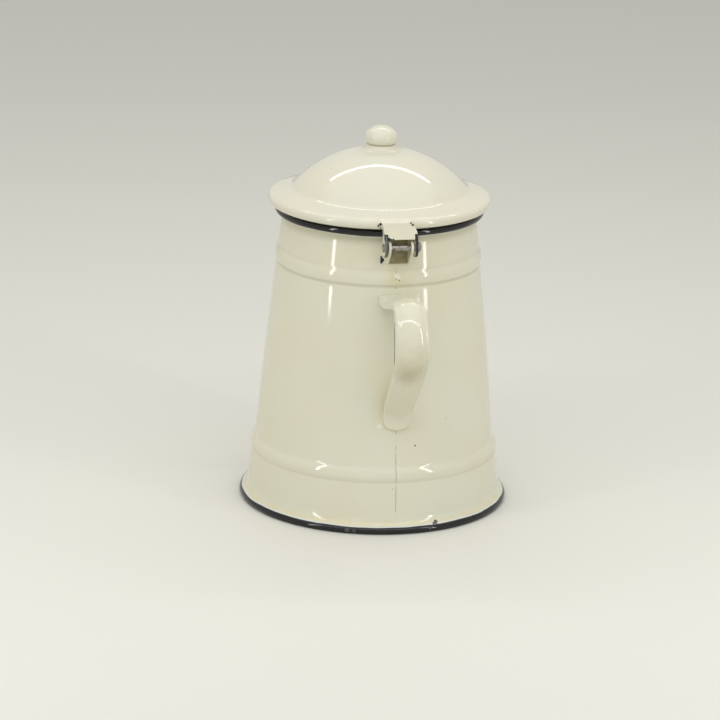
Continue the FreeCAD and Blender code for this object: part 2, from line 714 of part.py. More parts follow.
def hinge_bracket(at):
    """The bracket on the body: a curved back with feet and two pierced cheeks."""
    body = new_body("hinge_bracket")
    pin = at["pin"]
    low = pin[1] - size("bracket_drop")
    high = pin[1] + size("bracket_rise")
    middle = low + size("bracket_foot")
    plate = size("bracket_plate")
    cone_at = at["cone_at"]
    upper = size("neck_start")
    neck = size("neck_radius")
    back = [
        (-cone_at(low), low), (-cone_at(upper), upper), (-neck, high), (-(neck + plate), high),
        (-(cone_at(upper) + plate), upper), (-(cone_at(low) + plate), low),
    ]
    profile = outline(new_sketch(body, "back_profile"), back)
    revolve(body, "back", profile, half_angle=size("bracket_back_angle"))
    DOC.recompute()
    foot = [
        (-cone_at(low), low), (-cone_at(middle), middle), (-(cone_at(middle) + plate), middle),
        (-(cone_at(low) + plate), low),
    ]
    profile = outline(new_sketch(body, "feet_profile"), foot)
    revolve(body, "feet", profile, half_angle=size("bracket_foot_angle"))
    DOC.recompute()
    round_radius = size("cheek_radius")
    shallow = plate / 2
    cheek = [
        (-(cone_at(low) + shallow), low),
        (-(neck + shallow), pin[1] + round_radius * cosine(32)),
        polar(pin, round_radius, 58),
        polar(pin, round_radius, 222),
        (-(cone_at(low) + plate + shallow), low),
    ]
    bends = {2: Bend(round_radius, True)}
    sketch = outline(new_sketch(body, "cheek_profile"), cheek, bends)
    extrude(body, "cheeks", sketch, "PartDesign::Pad", 2 * size("cheek_half_width"), both_sides=True)
    DOC.recompute()
    clear = at["pin_reach"] + 2 * size("cheek_radius")
    gap = [
        (-(cone_at(low) + plate), low - plate), (-(cone_at(upper) + plate), upper),
        (-(neck + plate), high + plate), (-clear, high + plate), (-clear, low - plate),
    ]
    sketch = outline(new_sketch(body, "channel_profile"), gap)
    channel = 2 * (size("cheek_half_width") - size("cheek_wall"))
    extrude(body, "channel", sketch, "PartDesign::Pocket", channel, both_sides=True)
    DOC.recompute()
    bore = new_sketch(body, "pin_bore_profile")
    circle(bore, pin, size("pin_radius") + size("wire_gap"))
    extrude(body, "pin_bore", bore, "PartDesign::Pocket", 4 * size("cheek_half_width"),
            both_sides=True)
    return body


def ear_half_width():
    """Half width over the two ears."""
    return size("cheek_half_width") + size("side_play") + size("ear_wall")


def hinge_leaf(at):
    """The leaf on the lid: a plate bent over the brim, with two ears turned down."""
    body = new_body("hinge_leaf")
    pin = at["pin"]
    lobe = size("ear_radius")
    inner = pin[0] + size("ear_inner")
    outer = pin[0] - size("leaf_lip_offset")
    lip = pin[1] + size("leaf_lip_rise")
    wall = size("leaf_wall")
    lean = size("lid_roll_start")
    roll = (-at["lid_centre"][0], at["lid_centre"][1])
    start = (size("leaf_lap") - at["lid_radius"], roll[1] + size("leaf_root_rise"))
    radius = size("lid_roll")
    reach = pin[0] - inner
    drop = root(lobe * lobe - reach * reach)
    side = [
        (inner, pin[1] - drop),
        (inner, start[1] - wall),
        (start[0], start[1] - wall),
        start,
        polar(roll, radius + wall, 180 - lean),
        (roll[0] - radius - wall, roll[1]),
        (outer, lip),
        polar(pin, lobe, 165),
    ]
    bends = {4: Bend(radius + wall, True), 7: Bend(lobe, True)}
    sketch = outline(new_sketch(body, "ear_profile"), side, bends)
    extrude(body, "ears", sketch, "PartDesign::Pad", 2 * ear_half_width(), both_sides=True)
    DOC.recompute()
    clear = 2 * lobe
    gap = [
        (roll[0] - radius, pin[1] - clear),
        (roll[0] + radius, pin[1] - clear),
        (roll[0] + radius, roll[1]),
        (roll[0] - radius, roll[1]),
        (outer + wall, lip),
        (outer - clear, lip),
        (outer - clear, pin[1] - clear),
    ]
    sketch = outline(new_sketch(body, "gap_profile"), gap)
    inside = 2 * (ear_half_width() - size("ear_wall"))
    extrude(body, "gap", sketch, "PartDesign::Pocket", inside, both_sides=True)
    DOC.recompute()
    bore = new_sketch(body, "ear_bore_profile")
    circle(bore, pin, size("pin_radius") + size("pin_play"))
    extrude(body, "ear_bores", bore, "PartDesign::Pocket", 4 * ear_half_width(), both_sides=True)
    DOC.recompute()
    roll = at["lid_centre"]
    brim = [
        (0, roll[1] - radius), (roll[0], roll[1] - radius), polar(roll, radius, lean),
        (at["brim_radius"], roll[1] + size("brim_rise")), (0, roll[1] + size("brim_rise")),
    ]
    bends = {1: Bend(radius, True), 2: Bend(size("brim_bow"), True)}
    sketch = outline(new_sketch(body, "brim_profile"), brim, bends)
    revolve(body, "brim_seat", sketch, "PartDesign::Groove")
    return body


def hinge_pin(at):
    """The pin: a steel rivet with a domed head and a hammered end."""
    body = new_body("hinge_pin")
    half = ear_half_width() + size("head_play")
    radius = size("pin_radius")
    head = size("pin_head_radius")
    dome = size("pin_head_height")
    end = size("pin_tail_radius")
    tail = size("pin_tail_height")
    dome_section = (head * head + dome * dome) / (2 * dome)
    tail_section = (end * end + tail * tail) / (2 * tail)
    corners = [
        (0, -(half + dome)), (head, -half), (radius, -half),
        (radius, half), (end, half), (0, half + tail),
    ]
    bends = {0: Bend(dome_section, True), 4: Bend(tail_section, True)}
    profile = outline(new_sketch(body, "pin_profile", "XY_Plane"), corners, bends)
    revolve(body, "pin", profile)
    body.setExpression("Placement.Base.x", at["pin"][0].formula)
    body.setExpression("Placement.Base.z", at["pin"][1].formula)
    return body


def lid_shell(at):
    """The lid: a dome on a brim, with its edge rolled under."""
    body = new_body("lid_shell")
    wall = size("wall")
    roll = size("lid_roll")
    centre = at["lid_centre"]
    start = size("lid_roll_start")
    end = -size("lid_curl_end")
    bore = size("stud_radius") + size("wire_gap")
    section = at["dome_section"]
    blend = size("dome_blend")
    dome_foot = (at["dome_radius"], at["dome_foot_height"])
    brim = (at["brim_radius"], centre[1] + size("brim_rise"))
    foot_sine = at["dome_radius"] / section
    foot_cosine = root(1 - foot_sine * foot_sine)
    tilt = size("brim_slope")
    corners = [
        (bore, at["dome_at"](bore)),
        (bore, at["dome_under"](bore)),
        (dome_foot[0] - wall * foot_sine, dome_foot[1] - wall * foot_cosine),
        (brim[0] - wall * sine(tilt), brim[1] - wall * cosine(tilt)),
        polar(centre, roll - wall, start),
        polar(centre, roll - wall, end),
        polar(centre, roll, end),
        polar(centre, roll, start),
        brim,
        dome_foot,
    ]
    bends = {
        1: Bend(section - wall, False),
        2: Bend(blend + wall, True),
        3: Bend(size("brim_bow") - wall, False),
        4: Bend(roll - wall, False),
        6: Bend(roll, True),
        7: Bend(size("brim_bow"), True),
        8: Bend(blend, False),
        9: Bend(section, True),
    }
    revolve(body, "lid", outline(new_sketch(body, "lid_profile"), corners, bends))
    return body


def lid_collar(at):
    """The collar: a ring that drops into the mouth, its flange gripped by the lid's edge."""
    body = new_body("lid_collar")
    seat = at["seat_height"]
    outer = size("neck_radius") - size("wall") - size("collar_play")
    wall = size("collar_wall")
    bend = size("collar_bend")
    low = seat - size("collar_depth")
    grip = at["lid_centre"][1] - (size("lid_roll") - size("wall")) + 2 * size("wire_gap")
    step = at["rim_centre"][0] + size("collar_step")
    rise = grip - seat
    edge = at["lid_centre"][0] + size("collar_flange")
    skew = wall * tangent(22.5)
    corners = [
        (outer - wall, low),
        (outer, low),
        (outer, seat - bend),
        (outer + bend, seat),
        (step, seat),
        (step + rise, grip),
        (edge, grip),
        (edge, grip + wall),
        (step + rise - skew, grip + wall),
        (step - skew, seat + wall),
        (outer + bend, seat + wall),
        (outer - wall, seat - bend),
    ]
    bends = {2: Bend(bend, False), 10: Bend(bend + wall, True)}
    revolve(body, "collar", outline(new_sketch(body, "collar_profile"), corners, bends))
    return body


def knob_corner(wall, part):
    """Corners of the knob's section, for its outside or for its hollow."""
    radius = size("knob_radius")
    side = size("knob_shoulder")
    height = size("knob_half_height")
    reach = radius - side
    crown = (reach * reach + height * height - side * side) / (2 * (height - side))
    gap = crown - side
    toward = (reach / gap, (crown - height) / gap)
    if part == "crown":
        return crown - wall
    if part == "top":
        return (0, height - wall)
    if part == "shoulder":
        return ((crown - wall) * toward[0], height - crown + (crown - wall) * toward[1])
    return polar((reach, as_size(0)), side - wall, -size("knob_tuck"))


def lid_knob(at):
    """The knob: a pressed hollow button on a small base that fits the dome."""
    body = new_body("lid_knob")
    middle = at["knob_middle"]
    wall = size("knob_wall")
    side = size("knob_shoulder")
    base = size("knob_base")
    bore = size("knob_bore")
    fillet = size("knob_fillet")
    tuck = size("knob_tuck")
    waist = knob_corner(0, "waist")
    fillet_centre = polar(waist, fillet, -tuck)
    fillet_low = (fillet_centre[0], fillet_centre[1] - fillet)
    lift = lambda point: (point[0], middle + point[1])
    corners = [
        lift(knob_corner(0, "top")),
        lift(knob_corner(wall, "top")),
        lift(knob_corner(wall, "shoulder")),
        lift(knob_corner(wall, "waist")),
        (bore, at["dome_at"](bore)),
        (base, at["dome_at"](base)),
        (base, middle + fillet_low[1]),
        lift(fillet_low),
        lift(waist),
        lift(knob_corner(0, "shoulder")),
    ]
    bends = {
        1: Bend(knob_corner(wall, "crown"), False),
        2: Bend(side - wall, False),
        4: Bend(at["dome_section"], False),
        7: Bend(fillet, False),
        8: Bend(side, True),
        9: Bend(knob_corner(0, "crown"), True),
    }
    revolve(body, "knob", outline(new_sketch(body, "knob_profile"), corners, bends))
    return body


def knob_stud(at):
    """The stud: welded in the knob's crown and hammered over under the dome."""
    body = new_body("knob_stud")
    radius = size("stud_radius")
    head = size("stud_head")
    section = at["dome_section"] - size("wall")
    under = at["dome_under"](radius)
    head_top = at["dome_under"](head)
    top = at["knob_middle"] + size("knob_half_height") - size("knob_wall")
    crown = knob_corner(size("knob_wall"), "crown")
    top_side = top - crown + root(crown * crown - radius * radius)
    low = head_top - size("stud_head_height")
    dome = (head * head + size("stud_head_height") * size("stud_head_height"))
    dome = dome / (2 * size("stud_head_height"))
    corners = [
        (0, top), (0, low), (head, head_top), (radius, under), (radius, top_side),
    ]
    bends = {
        1: Bend(dome, True),
        2: Bend(section, True),
        4: Bend(crown, True),
    }
    revolve(body, "stud", outline(new_sketch(body, "stud_profile"), corners, bends))
    return body


def sound(shape):
    """Whether a shape is there, valid and holds a solid."""
    return not shape.isNull() and shape.isValid() and bool(shape.Solids)


DOC = FreeCAD.newDocument("coffee_pot")
sheet = DOC.addObject("Spreadsheet::Sheet", SHEET)
for row, (name, value, meaning) in enumerate(DIMENSIONS, start=1):
    sheet.set("A%d" % row, name)
    sheet.set("B%d" % row, str(value))
    sheet.set("C%d" % row, meaning)
    sheet.setAlias("B%d" % row, name)
DOC.recompute()

AT = shared_places()
foot_wire_radius = size("foot_roll") - size("wall") - size("wire_gap")
rim_wire_radius = size("mouth_roll") - size("wall") - size("wire_gap")
pieces = [
    body_shell(AT),
    wire_ring("mouth_wire", AT["rim_centre"], rim_wire_radius),
    wire_ring("foot_wire", AT["foot_centre"], foot_wire_radius),
    bottom_disc(AT),
    spout_half(AT, "spout_left_half", 1),
    spout_half(AT, "spout_right_half", -1),
    handle_strap(AT),
    hinge_bracket(AT),
    hinge_pin(AT),
    lid_shell(AT),
    lid_collar(AT),
    hinge_leaf(AT),
    lid_knob(AT),
    knob_stud(AT),
]
DOC.recompute()

for item in DOC.Objects:
    if "Invalid" in item.State or "Error" in item.State:
        raise RuntimeError("%s: %s" % (item.Label, item.State))
for piece in pieces:
    if not sound(piece.Shape):
        raise RuntimeError("%s has no sound shape" % piece.Label)
    box = piece.Shape.BoundBox
    print("%-18s solids %d volume %9.1f  x %7.2f %7.2f  y %7.2f %7.2f  z %7.2f %7.2f" % (
        piece.Label, len(piece.Shape.Solids), piece.Shape.Volume,
        box.XMin, box.XMax, box.YMin, box.YMax, box.ZMin, box.ZMax))

os.makedirs("parts", exist_ok=True)
for piece in pieces:
    piece.Shape.exportStep(os.path.join("parts", piece.Label + ".step"))
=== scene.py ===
"""Enamelled steel coffee pot: fine surfaces, finishes, light and camera.

The sizes are in millimetres, measured from the table and from the pot's own axis.
They are turned to metres only where a mesh is made.
"""

import logging
import math
from collections.abc import Callable, Mapping, Sequence
from dataclasses import dataclass
from enum import Enum

import bpy
import numpy as np
from mathutils import Matrix, Vector


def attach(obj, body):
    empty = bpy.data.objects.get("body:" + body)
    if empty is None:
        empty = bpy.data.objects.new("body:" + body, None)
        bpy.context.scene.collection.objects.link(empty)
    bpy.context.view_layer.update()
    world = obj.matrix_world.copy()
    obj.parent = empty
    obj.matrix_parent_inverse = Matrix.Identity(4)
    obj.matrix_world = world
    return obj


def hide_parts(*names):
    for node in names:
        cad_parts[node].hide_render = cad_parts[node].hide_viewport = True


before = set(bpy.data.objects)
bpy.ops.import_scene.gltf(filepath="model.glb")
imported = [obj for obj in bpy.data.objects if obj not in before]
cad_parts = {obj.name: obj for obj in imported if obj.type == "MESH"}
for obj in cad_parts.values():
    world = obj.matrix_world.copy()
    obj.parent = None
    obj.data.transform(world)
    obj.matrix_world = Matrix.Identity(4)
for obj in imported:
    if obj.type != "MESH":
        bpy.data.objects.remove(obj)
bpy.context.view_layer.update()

Array = np.ndarray
Point = tuple[float, float]
METRES = 0.001
LOG = logging.getLogger("coffee_pot")


class Body(Enum):
    """The two bodies that the pieces ride on."""

    POT = "pot"
    LID = "lid"


class Slot(Enum):
    """The record's material slots."""

    ENAMEL = "cream_enamel"
    WIRE = "steel_wire"
    WORN = "worn_steel"


# Curves in a plane


@dataclass(frozen=True)
class Bend:
    """A circular stretch of an outline between two of its corners.

    Args:
        radius: radius of the arc.
        left: whether the arc turns left as the outline is walked.
        long: whether the arc is longer than half a turn.
    """

    radius: float
    left: bool
    long: bool = False


def arc_between(start: Array, end: Array, bend: Bend, step: float) -> Array:
    """Points of an arc, its end left out.

    The centre lies on the chord's perpendicular bisector, at the root of radius squared
    less half the chord squared, and the points are evenly spaced in angle.

    Args:
        start: first point.
        end: last point.
        bend: radius and direction.
        step: longest spacing of the points.

    Returns:
        The points, one row each.
    """
    chord = end - start
    length = float(np.hypot(*chord))
    rise = math.sqrt(max(bend.radius ** 2 - (length / 2) ** 2, 0.0))
    side = 1.0 if bend.left != bend.long else -1.0
    centre = (start + end) / 2 + np.array([-chord[1], chord[0]]) / length * rise * side
    first = math.atan2(*(start - centre)[::-1])
    last = math.atan2(*(end - centre)[::-1])
    if bend.left and last < first:
        last += 2 * math.pi
    if not bend.left and last > first:
        last -= 2 * math.pi
    count = max(3, int(math.ceil(abs(last - first) * bend.radius / step)))
    turn = np.linspace(first, last, count + 1)[:-1]
    return centre + bend.radius * np.stack([np.cos(turn), np.sin(turn)], axis=1)


def trace(corners: Sequence[Point], bends: Mapping[int, Bend], step: float,
          closed: bool = True) -> Array:
    """Walk an outline of straight lines and arcs.

    Args:
        corners: the outline's corners.
        bends: the number of each edge that is an arc, with its bend.
        step: longest spacing of points on arcs; straight lines take eight times as much.
        closed: whether the last corner joins the first.

    Returns:
        The outline's points, one row each.
    """
    points = np.array(corners, dtype=float)
    parts = []
    count = len(points) if closed else len(points) - 1
    for number in range(count):
        start, end = points[number], points[(number + 1) % len(points)]
        if number in bends:
            parts.append(arc_between(start, end, bends[number], step))
            continue
        pieces = max(1, int(math.ceil(float(np.hypot(*(end - start))) / (8 * step))))
        share = np.linspace(0.0, 1.0, pieces + 1)[:-1, None]
        parts.append(start + (end - start) * share)
    if not closed:
        parts.append(points[-1:])
    return np.concatenate(parts)


def soften(line: Array, reach: float, longest: float = 4.0, turn: float = 4.0) -> Array:
    """Round a line's corners and space its points by how much it bends.

    The line is resampled every 0.15 mm, each point is averaged with its neighbours under a
    bell curve, and new points are taken at equal steps of length over the longest spacing
    plus bend over the largest turn.

    Args:
        line: points of an open line.
        reach: width of the bell curve.
        longest: longest spacing of the new points.
        turn: most degrees between two new points.

    Returns:
        The new points, with the line's own ends.
    """
    along = np.concatenate([[0], np.cumsum(np.hypot(*np.diff(line, axis=0).T))])
    fine = np.linspace(0, along[-1], int(along[-1] / 0.15) + 2)
    even = np.stack([np.interp(fine, along, line[:, axis]) for axis in (0, 1)], axis=1)
    side = np.arange(-4 * reach, 4 * reach + 0.01, 0.15)
    bell = np.exp(-0.5 * (side / reach) ** 2)
    margin = len(side) // 2
    before = 2 * even[0] - even[margin:0:-1]
    after = 2 * even[-1] - even[-2:-margin - 2:-1]
    padded = np.concatenate([before, even, after])
    smooth = np.stack([np.convolve(padded[:, axis], bell / bell.sum(), "valid")
                       for axis in (0, 1)], axis=1)[:len(even)]
    smooth[0], smooth[-1] = line[0], line[-1]
    step = np.diff(smooth, axis=0)
    heading = np.unwrap(np.arctan2(step[:, 1], step[:, 0]))
    bend = np.abs(np.concatenate([[0], np.diff(heading)]))
    measure = np.concatenate([[0], np.cumsum(np.hypot(*step.T) / longest
                                             + np.degrees(bend) / turn)])
    marks = np.linspace(0, measure[-1], int(math.ceil(measure[-1])) + 1)
    return np.stack([np.interp(marks, measure, smooth[:, axis]) for axis in (0, 1)], axis=1)


def polar(centre: Point, radius: float, degrees: float) -> Point:
    """The point at a radius and an angle about a centre."""
    turn = math.radians(degrees)
    return (centre[0] + radius * math.cos(turn), centre[1] + radius * math.sin(turn))


def smooth_through(stations: Sequence[Sequence[float]], count: int) -> Array:
    """Carry values smoothly through stations.

    Each span is a cubic whose slope at a station is half the step between its neighbours.

    Args:
        stations: rows of values that go together.
        count: number of rows to return.

    Returns:
        The rows, evenly spaced in station number.
    """
    rows = np.array(stations, dtype=float)
    slope = np.gradient(rows, axis=0)
    place = np.linspace(0.0, len(rows) - 1.0, count)
    low = np.minimum(place.astype(int), len(rows) - 2)
    part = (place - low)[:, None]
    two, three = part ** 2, part ** 3
    return ((2 * three - 3 * two + 1) * rows[low] + (three - 2 * two + part) * slope[low]
            + (3 * two - 2 * three) * rows[low + 1] + (three - two) * slope[low + 1])


# Surfaces


def grid_quads(rows: int, columns: int, wrap_rows: bool, wrap_columns: bool) -> Array:
    """Four corners of each cell of a grid whose points are numbered row by row."""
    row = np.arange(rows if wrap_rows else rows - 1)
    column = np.arange(columns if wrap_columns else columns - 1)
    row, column = np.meshgrid(row, column, indexing="ij")
    below, right = (row + 1) % rows, (column + 1) % columns
    cells = [row * columns + column, row * columns + right,
             below * columns + right, below * columns + column]
    return np.stack(cells, axis=-1).reshape(-1, 4)


def make_piece(name: str, points: Array, faces: Sequence[Sequence[int]],
               crease: float = 32.0) -> bpy.types.Object:
    """Make a closed mesh whose faces point outwards.

    The enclosed volume is a sixth of the sum, over triangles, of one corner's dot product
    with the cross product of the other two. If it is negative, every face is turned round.

    Args:
        name: the piece's name.
        points: corners in millimetres.
        faces: corner numbers of each face.
        crease: angle in degrees from which an edge stays sharp.

    Returns:
        The piece, at the origin.
    """
    faces = [list(map(int, face)) for face in faces]
    fans = np.array([(face[0], face[n], face[n + 1])
                     for face in faces for n in range(1, len(face) - 1)])
    one, two, three = points[fans[:, 0]], points[fans[:, 1]], points[fans[:, 2]]
    if float(np.einsum("ij,ij->", one, np.cross(two, three))) < 0:
        faces = [face[::-1] for face in faces]
    mesh = bpy.data.meshes.new(name)
    mesh.from_pydata((points * METRES).tolist(), [], faces)
    mesh.validate()
    finish_shading(mesh, crease)
    piece = bpy.data.objects.new(name, mesh)
    bpy.context.collection.objects.link(piece)
    return piece


def finish_shading(mesh: bpy.types.Mesh, crease: float) -> None:
    """Shade a mesh smooth, apart from edges sharper than the crease angle."""
    mesh.polygons.foreach_set("use_smooth", np.ones(len(mesh.polygons), dtype=bool))
    mesh.set_sharp_from_angle(angle=math.radians(crease))
    mesh.update()


def turned(name: str, profile: Array, around: int, closed: bool = True,
           shift: Callable[[Array, Array], Array] | None = None) -> bpy.types.Object:
    """Turn a profile round the pot's axis.

    A point at radius r and height z goes to r cos t, r sin t, z for each angle t. Where an
    open profile meets the axis, its end is one point.

    Args:
        name: the piece's name.
        profile: radius and height of each point.
        around: number of angles.
        closed: whether the profile closes on itself; if not, it starts and ends on the axis.
        shift: radial displacement as a function of angle and height.

    Returns:
        The piece.
    """
    turn = np.linspace(0.0, 2 * math.pi, around, endpoint=False)
    rings = profile if closed else profile[1:-1]
    radius = np.repeat(rings[:, :1], around, axis=1)
    height = np.repeat(rings[:, 1:2], around, axis=1)
    if shift is not None:
        radius = radius + shift(np.repeat(turn[None], len(rings), axis=0), height)
    points = np.stack([radius * np.cos(turn), radius * np.sin(turn), height], axis=-1)
    points = points.reshape(-1, 3)
    faces = grid_quads(len(rings), around, closed, True).tolist()
    if not closed:
        ends = np.array([[0.0, 0.0, profile[0, 1]], [0.0, 0.0, profile[-1, 1]]])
        first, last = len(points), len(points) + 1
        points = np.concatenate([points, ends])
        column = np.arange(around)
        after = (column + 1) % around
        base = (len(rings) - 1) * around
        faces += np.stack([np.full(around, first), after, column], axis=1).tolist()
        faces += np.stack([np.full(around, last), base + column, base + after],
                          axis=1).tolist()
    return make_piece(name, points, faces)


def plate(name: str, outline: Array, low: float, high: float, edge: float) -> bpy.types.Object:
    """A flat plate across the pot, its rim rounded.

    The outline is repeated at several depths. Each repeat is drawn in along the outline's
    own normal by the edge radius times one minus the cosine of the quarter turn.

    Args:
        name: the piece's name.
        outline: points as distance along X and height.
        low: the plate's side towards -Y.
        high: the plate's side towards +Y.
        edge: radius of the rim's rounding.

    Returns:
        The piece.
    """
    along = np.roll(outline, -1, axis=0) - np.roll(outline, 1, axis=0)
    along /= np.maximum(np.hypot(along[:, 0], along[:, 1]), 1e-9)[:, None]
    area = np.sum(outline[:, 0] * np.roll(outline[:, 1], -1)
                  - outline[:, 1] * np.roll(outline[:, 0], -1))
    inward = np.stack([-along[:, 1], along[:, 0]], axis=1) * (1.0 if area > 0 else -1.0)
    quarter = np.linspace(0.0, math.pi / 2, 5)
    across = np.concatenate([low + edge * (1 - np.sin(quarter)),
                             (high - edge * (1 - np.sin(quarter)))[::-1]])
    inset = np.concatenate([edge * (1 - np.cos(math.pi / 2 - quarter)),
                            (edge * (1 - np.cos(math.pi / 2 - quarter)))[::-1]])
    ring = outline[None] + inward[None] * inset[:, None, None]
    depth = np.repeat(across[:, None], len(outline), axis=1)
    points = np.stack([ring[..., 0], depth, ring[..., 1]], axis=-1).reshape(-1, 3)
    faces = grid_quads(len(across), len(outline), False, True).tolist()
    count = len(outline)
    faces.append(list(range(count))[::-1])
    faces.append(list(range((len(across) - 1) * count, len(across) * count)))
    return make_piece(name, points, faces)


def join(name: str, pieces: Sequence[bpy.types.Object]) -> bpy.types.Object:
    """Put several meshes in one object."""
    with bpy.context.temp_override(active_object=pieces[0], selected_editable_objects=pieces):
        bpy.ops.object.join()
    pieces[0].name = name
    pieces[0].data.name = name
    return pieces[0]


def settle_modifiers(piece: bpy.types.Object, crease: float = 32.0) -> bpy.types.Object:
    """Keep the shape that a piece's modifiers give it, and drop the modifiers."""
    bpy.context.view_layer.update()
    graph = bpy.context.evaluated_depsgraph_get()
    mesh = bpy.data.meshes.new_from_object(piece.evaluated_get(graph))
    old = piece.data
    piece.modifiers.clear()
    piece.data = mesh
    mesh.name = piece.name
    bpy.data.meshes.remove(old)
    finish_shading(mesh, crease)
    return piece


def cut_away(piece: bpy.types.Object, cutter: bpy.types.Object) -> bpy.types.Object:
    """Cut one closed mesh away from another."""
    step = piece.modifiers.new("cut", "BOOLEAN")
    step.operation = "DIFFERENCE"
    step.solver = "EXACT"
    step.object = cutter
    settle_modifiers(piece)
    mesh = cutter.data
    bpy.data.objects.remove(cutter)
    bpy.data.meshes.remove(mesh)
    return piece


def melt(piece: bpy.types.Object, cell: float, rounds: int) -> bpy.types.Object:
    """Run overlapping plates together, as enamel fills the corners between sheets.

    Args:
        piece: closed meshes that overlap.
        cell: size of the cells of the new surface, in millimetres.
        rounds: how often the new surface is smoothed.

    Returns:
        The piece.
    """
    step = piece.modifiers.new("cells", "REMESH")
    step.mode = "VOXEL"
    step.voxel_size = cell * METRES
    step = piece.modifiers.new("soften", "SMOOTH")
    step.factor = 0.5
    step.iterations = rounds
    return settle_modifiers(piece, 60.0)


# Materials


def linear(code: str) -> tuple[float, float, float, float]:
    """A hex colour as written on a screen, turned to linear light.

    Each channel c is c / 12.92 up to 0.04045, and above it the 2.4th power of
    (c + 0.055) / 1.055.
    """
    channels = [int(code[start:start + 2], 16) / 255 for start in (1, 3, 5)]
    light = [c / 12.92 if c <= 0.04045 else ((c + 0.055) / 1.055) ** 2.4 for c in channels]
    return (light[0], light[1], light[2], 1.0)


Socket = bpy.types.NodeSocket


def add(tree: bpy.types.NodeTree, kind: str, links: Mapping[int | str, object] | None = None,
        **settings: object) -> bpy.types.Node:
    """Add a node with its settings, values and links.

    Args:
        tree: the node tree.
        kind: the node's type.
        links: for each input, by name or number, a socket to link or a value to set.
        settings: properties of the node.

    Returns:
        The node.
    """
    node = tree.nodes.new(kind)
    for key, value in settings.items():
        setattr(node, key, value)
    for key, value in (links or {}).items():
        if isinstance(value, Socket):
            tree.links.new(value, node.inputs[key])
        else:
            node.inputs[key].default_value = value
    return node


class Masks:
    """Masks over a piece, in its own millimetres, from 0 to 1."""

    def __init__(self, tree: bpy.types.NodeTree) -> None:
        """Set up the position that every mask reads."""
        self.tree = tree
        self.place = add(tree, "ShaderNodeTexCoord").outputs["Object"]
        scaled = add(tree, "ShaderNodeVectorMath", {0: self.place, "Scale": 1 / METRES},
                     operation="SCALE")
        self.millimetres = scaled.outputs[0]
        parts = add(tree, "ShaderNodeSeparateXYZ", {0: self.millimetres})
        self.x, self.y, self.z = parts.outputs[:3]

    def math(self, operation: str, *values: object, clamp: bool = False) -> Socket:
        """One arithmetic step."""
        links = {number: value for number, value in enumerate(values)}
        node = add(self.tree, "ShaderNodeMath", links, operation=operation, use_clamp=clamp)
        return node.outputs[0]

    def ramp(self, value: object, low: float, high: float) -> Socket:
        """Rise smoothly from 0 at low to 1 at high, or fall if high is the lower."""
        node = add(self.tree, "ShaderNodeMapRange",
                   {"Value": value, "From Min": low, "From Max": high,
                    "To Min": 0.0, "To Max": 1.0},
                   interpolation_type="SMOOTHSTEP")
        return node.outputs[0]

    def noise(self, cell: float, detail: float = 2.0, rough: float = 0.5,
              stretch: tuple[float, float, float] = (1.0, 1.0, 1.0),
              offset: float = 0.0) -> Socket:
        """Soft noise whose lumps are about one cell of millimetres wide."""
        moved = add(self.tree, "ShaderNodeMapping",
                    {"Vector": self.millimetres,
                     "Location": (offset, offset * 0.7, offset * 0.3), "Scale": stretch})
        node = add(self.tree, "ShaderNodeTexNoise",
                   {"Vector": moved.outputs[0], "Scale": 1.0 / cell, "Detail": detail,
                    "Roughness": rough})
        return node.outputs["Fac"]

    def radius(self) -> Socket:
        """Distance from the pot's axis."""
        squares = self.math("ADD", self.math("MULTIPLY", self.x, self.x),
                            self.math("MULTIPLY", self.y, self.y))
        return self.math("SQRT", squares)

    def spot(self, centre: tuple[float, float, float], size: float, ragged: float,
             stretch: tuple[float, float, float] = (1.0, 1.0, 1.0)) -> Socket:
        """A ragged spot round a point.

        The distance to the point, with ragged noise added, is under the spot's size.
        """
        away = add(self.tree, "ShaderNodeVectorMath", {0: self.millimetres, 1: centre},
                   operation="SUBTRACT")
        shaped = add(self.tree, "ShaderNodeVectorMath", {0: away.outputs[0], 1: stretch},
                     operation="MULTIPLY")
        length = add(self.tree, "ShaderNodeVectorMath", {0: shaped.outputs[0]},
                     operation="LENGTH").outputs["Value"]
        wander = self.math("MULTIPLY", self.math("SUBTRACT", self.noise(size * 0.9, 3.0), 0.5),
                           2.0 * ragged)
        return self.ramp(self.math("ADD", length, wander), size, size * 0.82)

    def most(self, masks: Sequence[Socket]) -> Socket:
        """The largest of several masks."""
        top = masks[0]
        for mask in masks[1:]:
            top = self.math("MAXIMUM", top, mask)
        return top

    def mix(self, amount: Socket, under: object, over: object) -> Socket:
        """Lay one colour over another by a mask."""
        node = add(self.tree, "ShaderNodeMix", {0: amount, 6: under, 7: over},
                   data_type="RGBA")
        return node.outputs[2]

    def blend(self, amount: Socket, under: object, over: object) -> Socket:
        """Lay one number over another by a mask."""
        node = add(self.tree, "ShaderNodeMix", {0: amount, 2: under, 3: over},
                   data_type="FLOAT")
        return node.outputs[0]


@dataclass(frozen=True)
class Chip:
    """A place where the enamel has broken off.

    Args:
        place: centre in millimetres.
        size: radius in millimetres.
        bare: how much grey steel shows in the middle, from 0 to 1.
    """

    place: tuple[float, float, float]
    size: float
    bare: float = 0.0


@dataclass(frozen=True)
class Enamel:
    """Vitreous enamel on steel sheet: opaque glass, dipped, drained and fired.

    It gives the eye a deep, slightly uneven gloss over an even cream, with dark broken
    glass and grey steel where it is chipped.
    """

    cream: str = "#DDDDC9"
    warm: str = "#DEDAC2"
    black: str = "#07090C"
    # Thin line along the black edge, partly a painted reflection.
    pale: str = "#DDE3E2"
    broken: str = "#17181A"
    steel: str = "#7A7C7E"
    # Colour of stained patches, and on the handle of painted shade.
    stain_and_shade: str = "#D9CB9C"
    rough: float = 0.075
    ior: float = 1.5


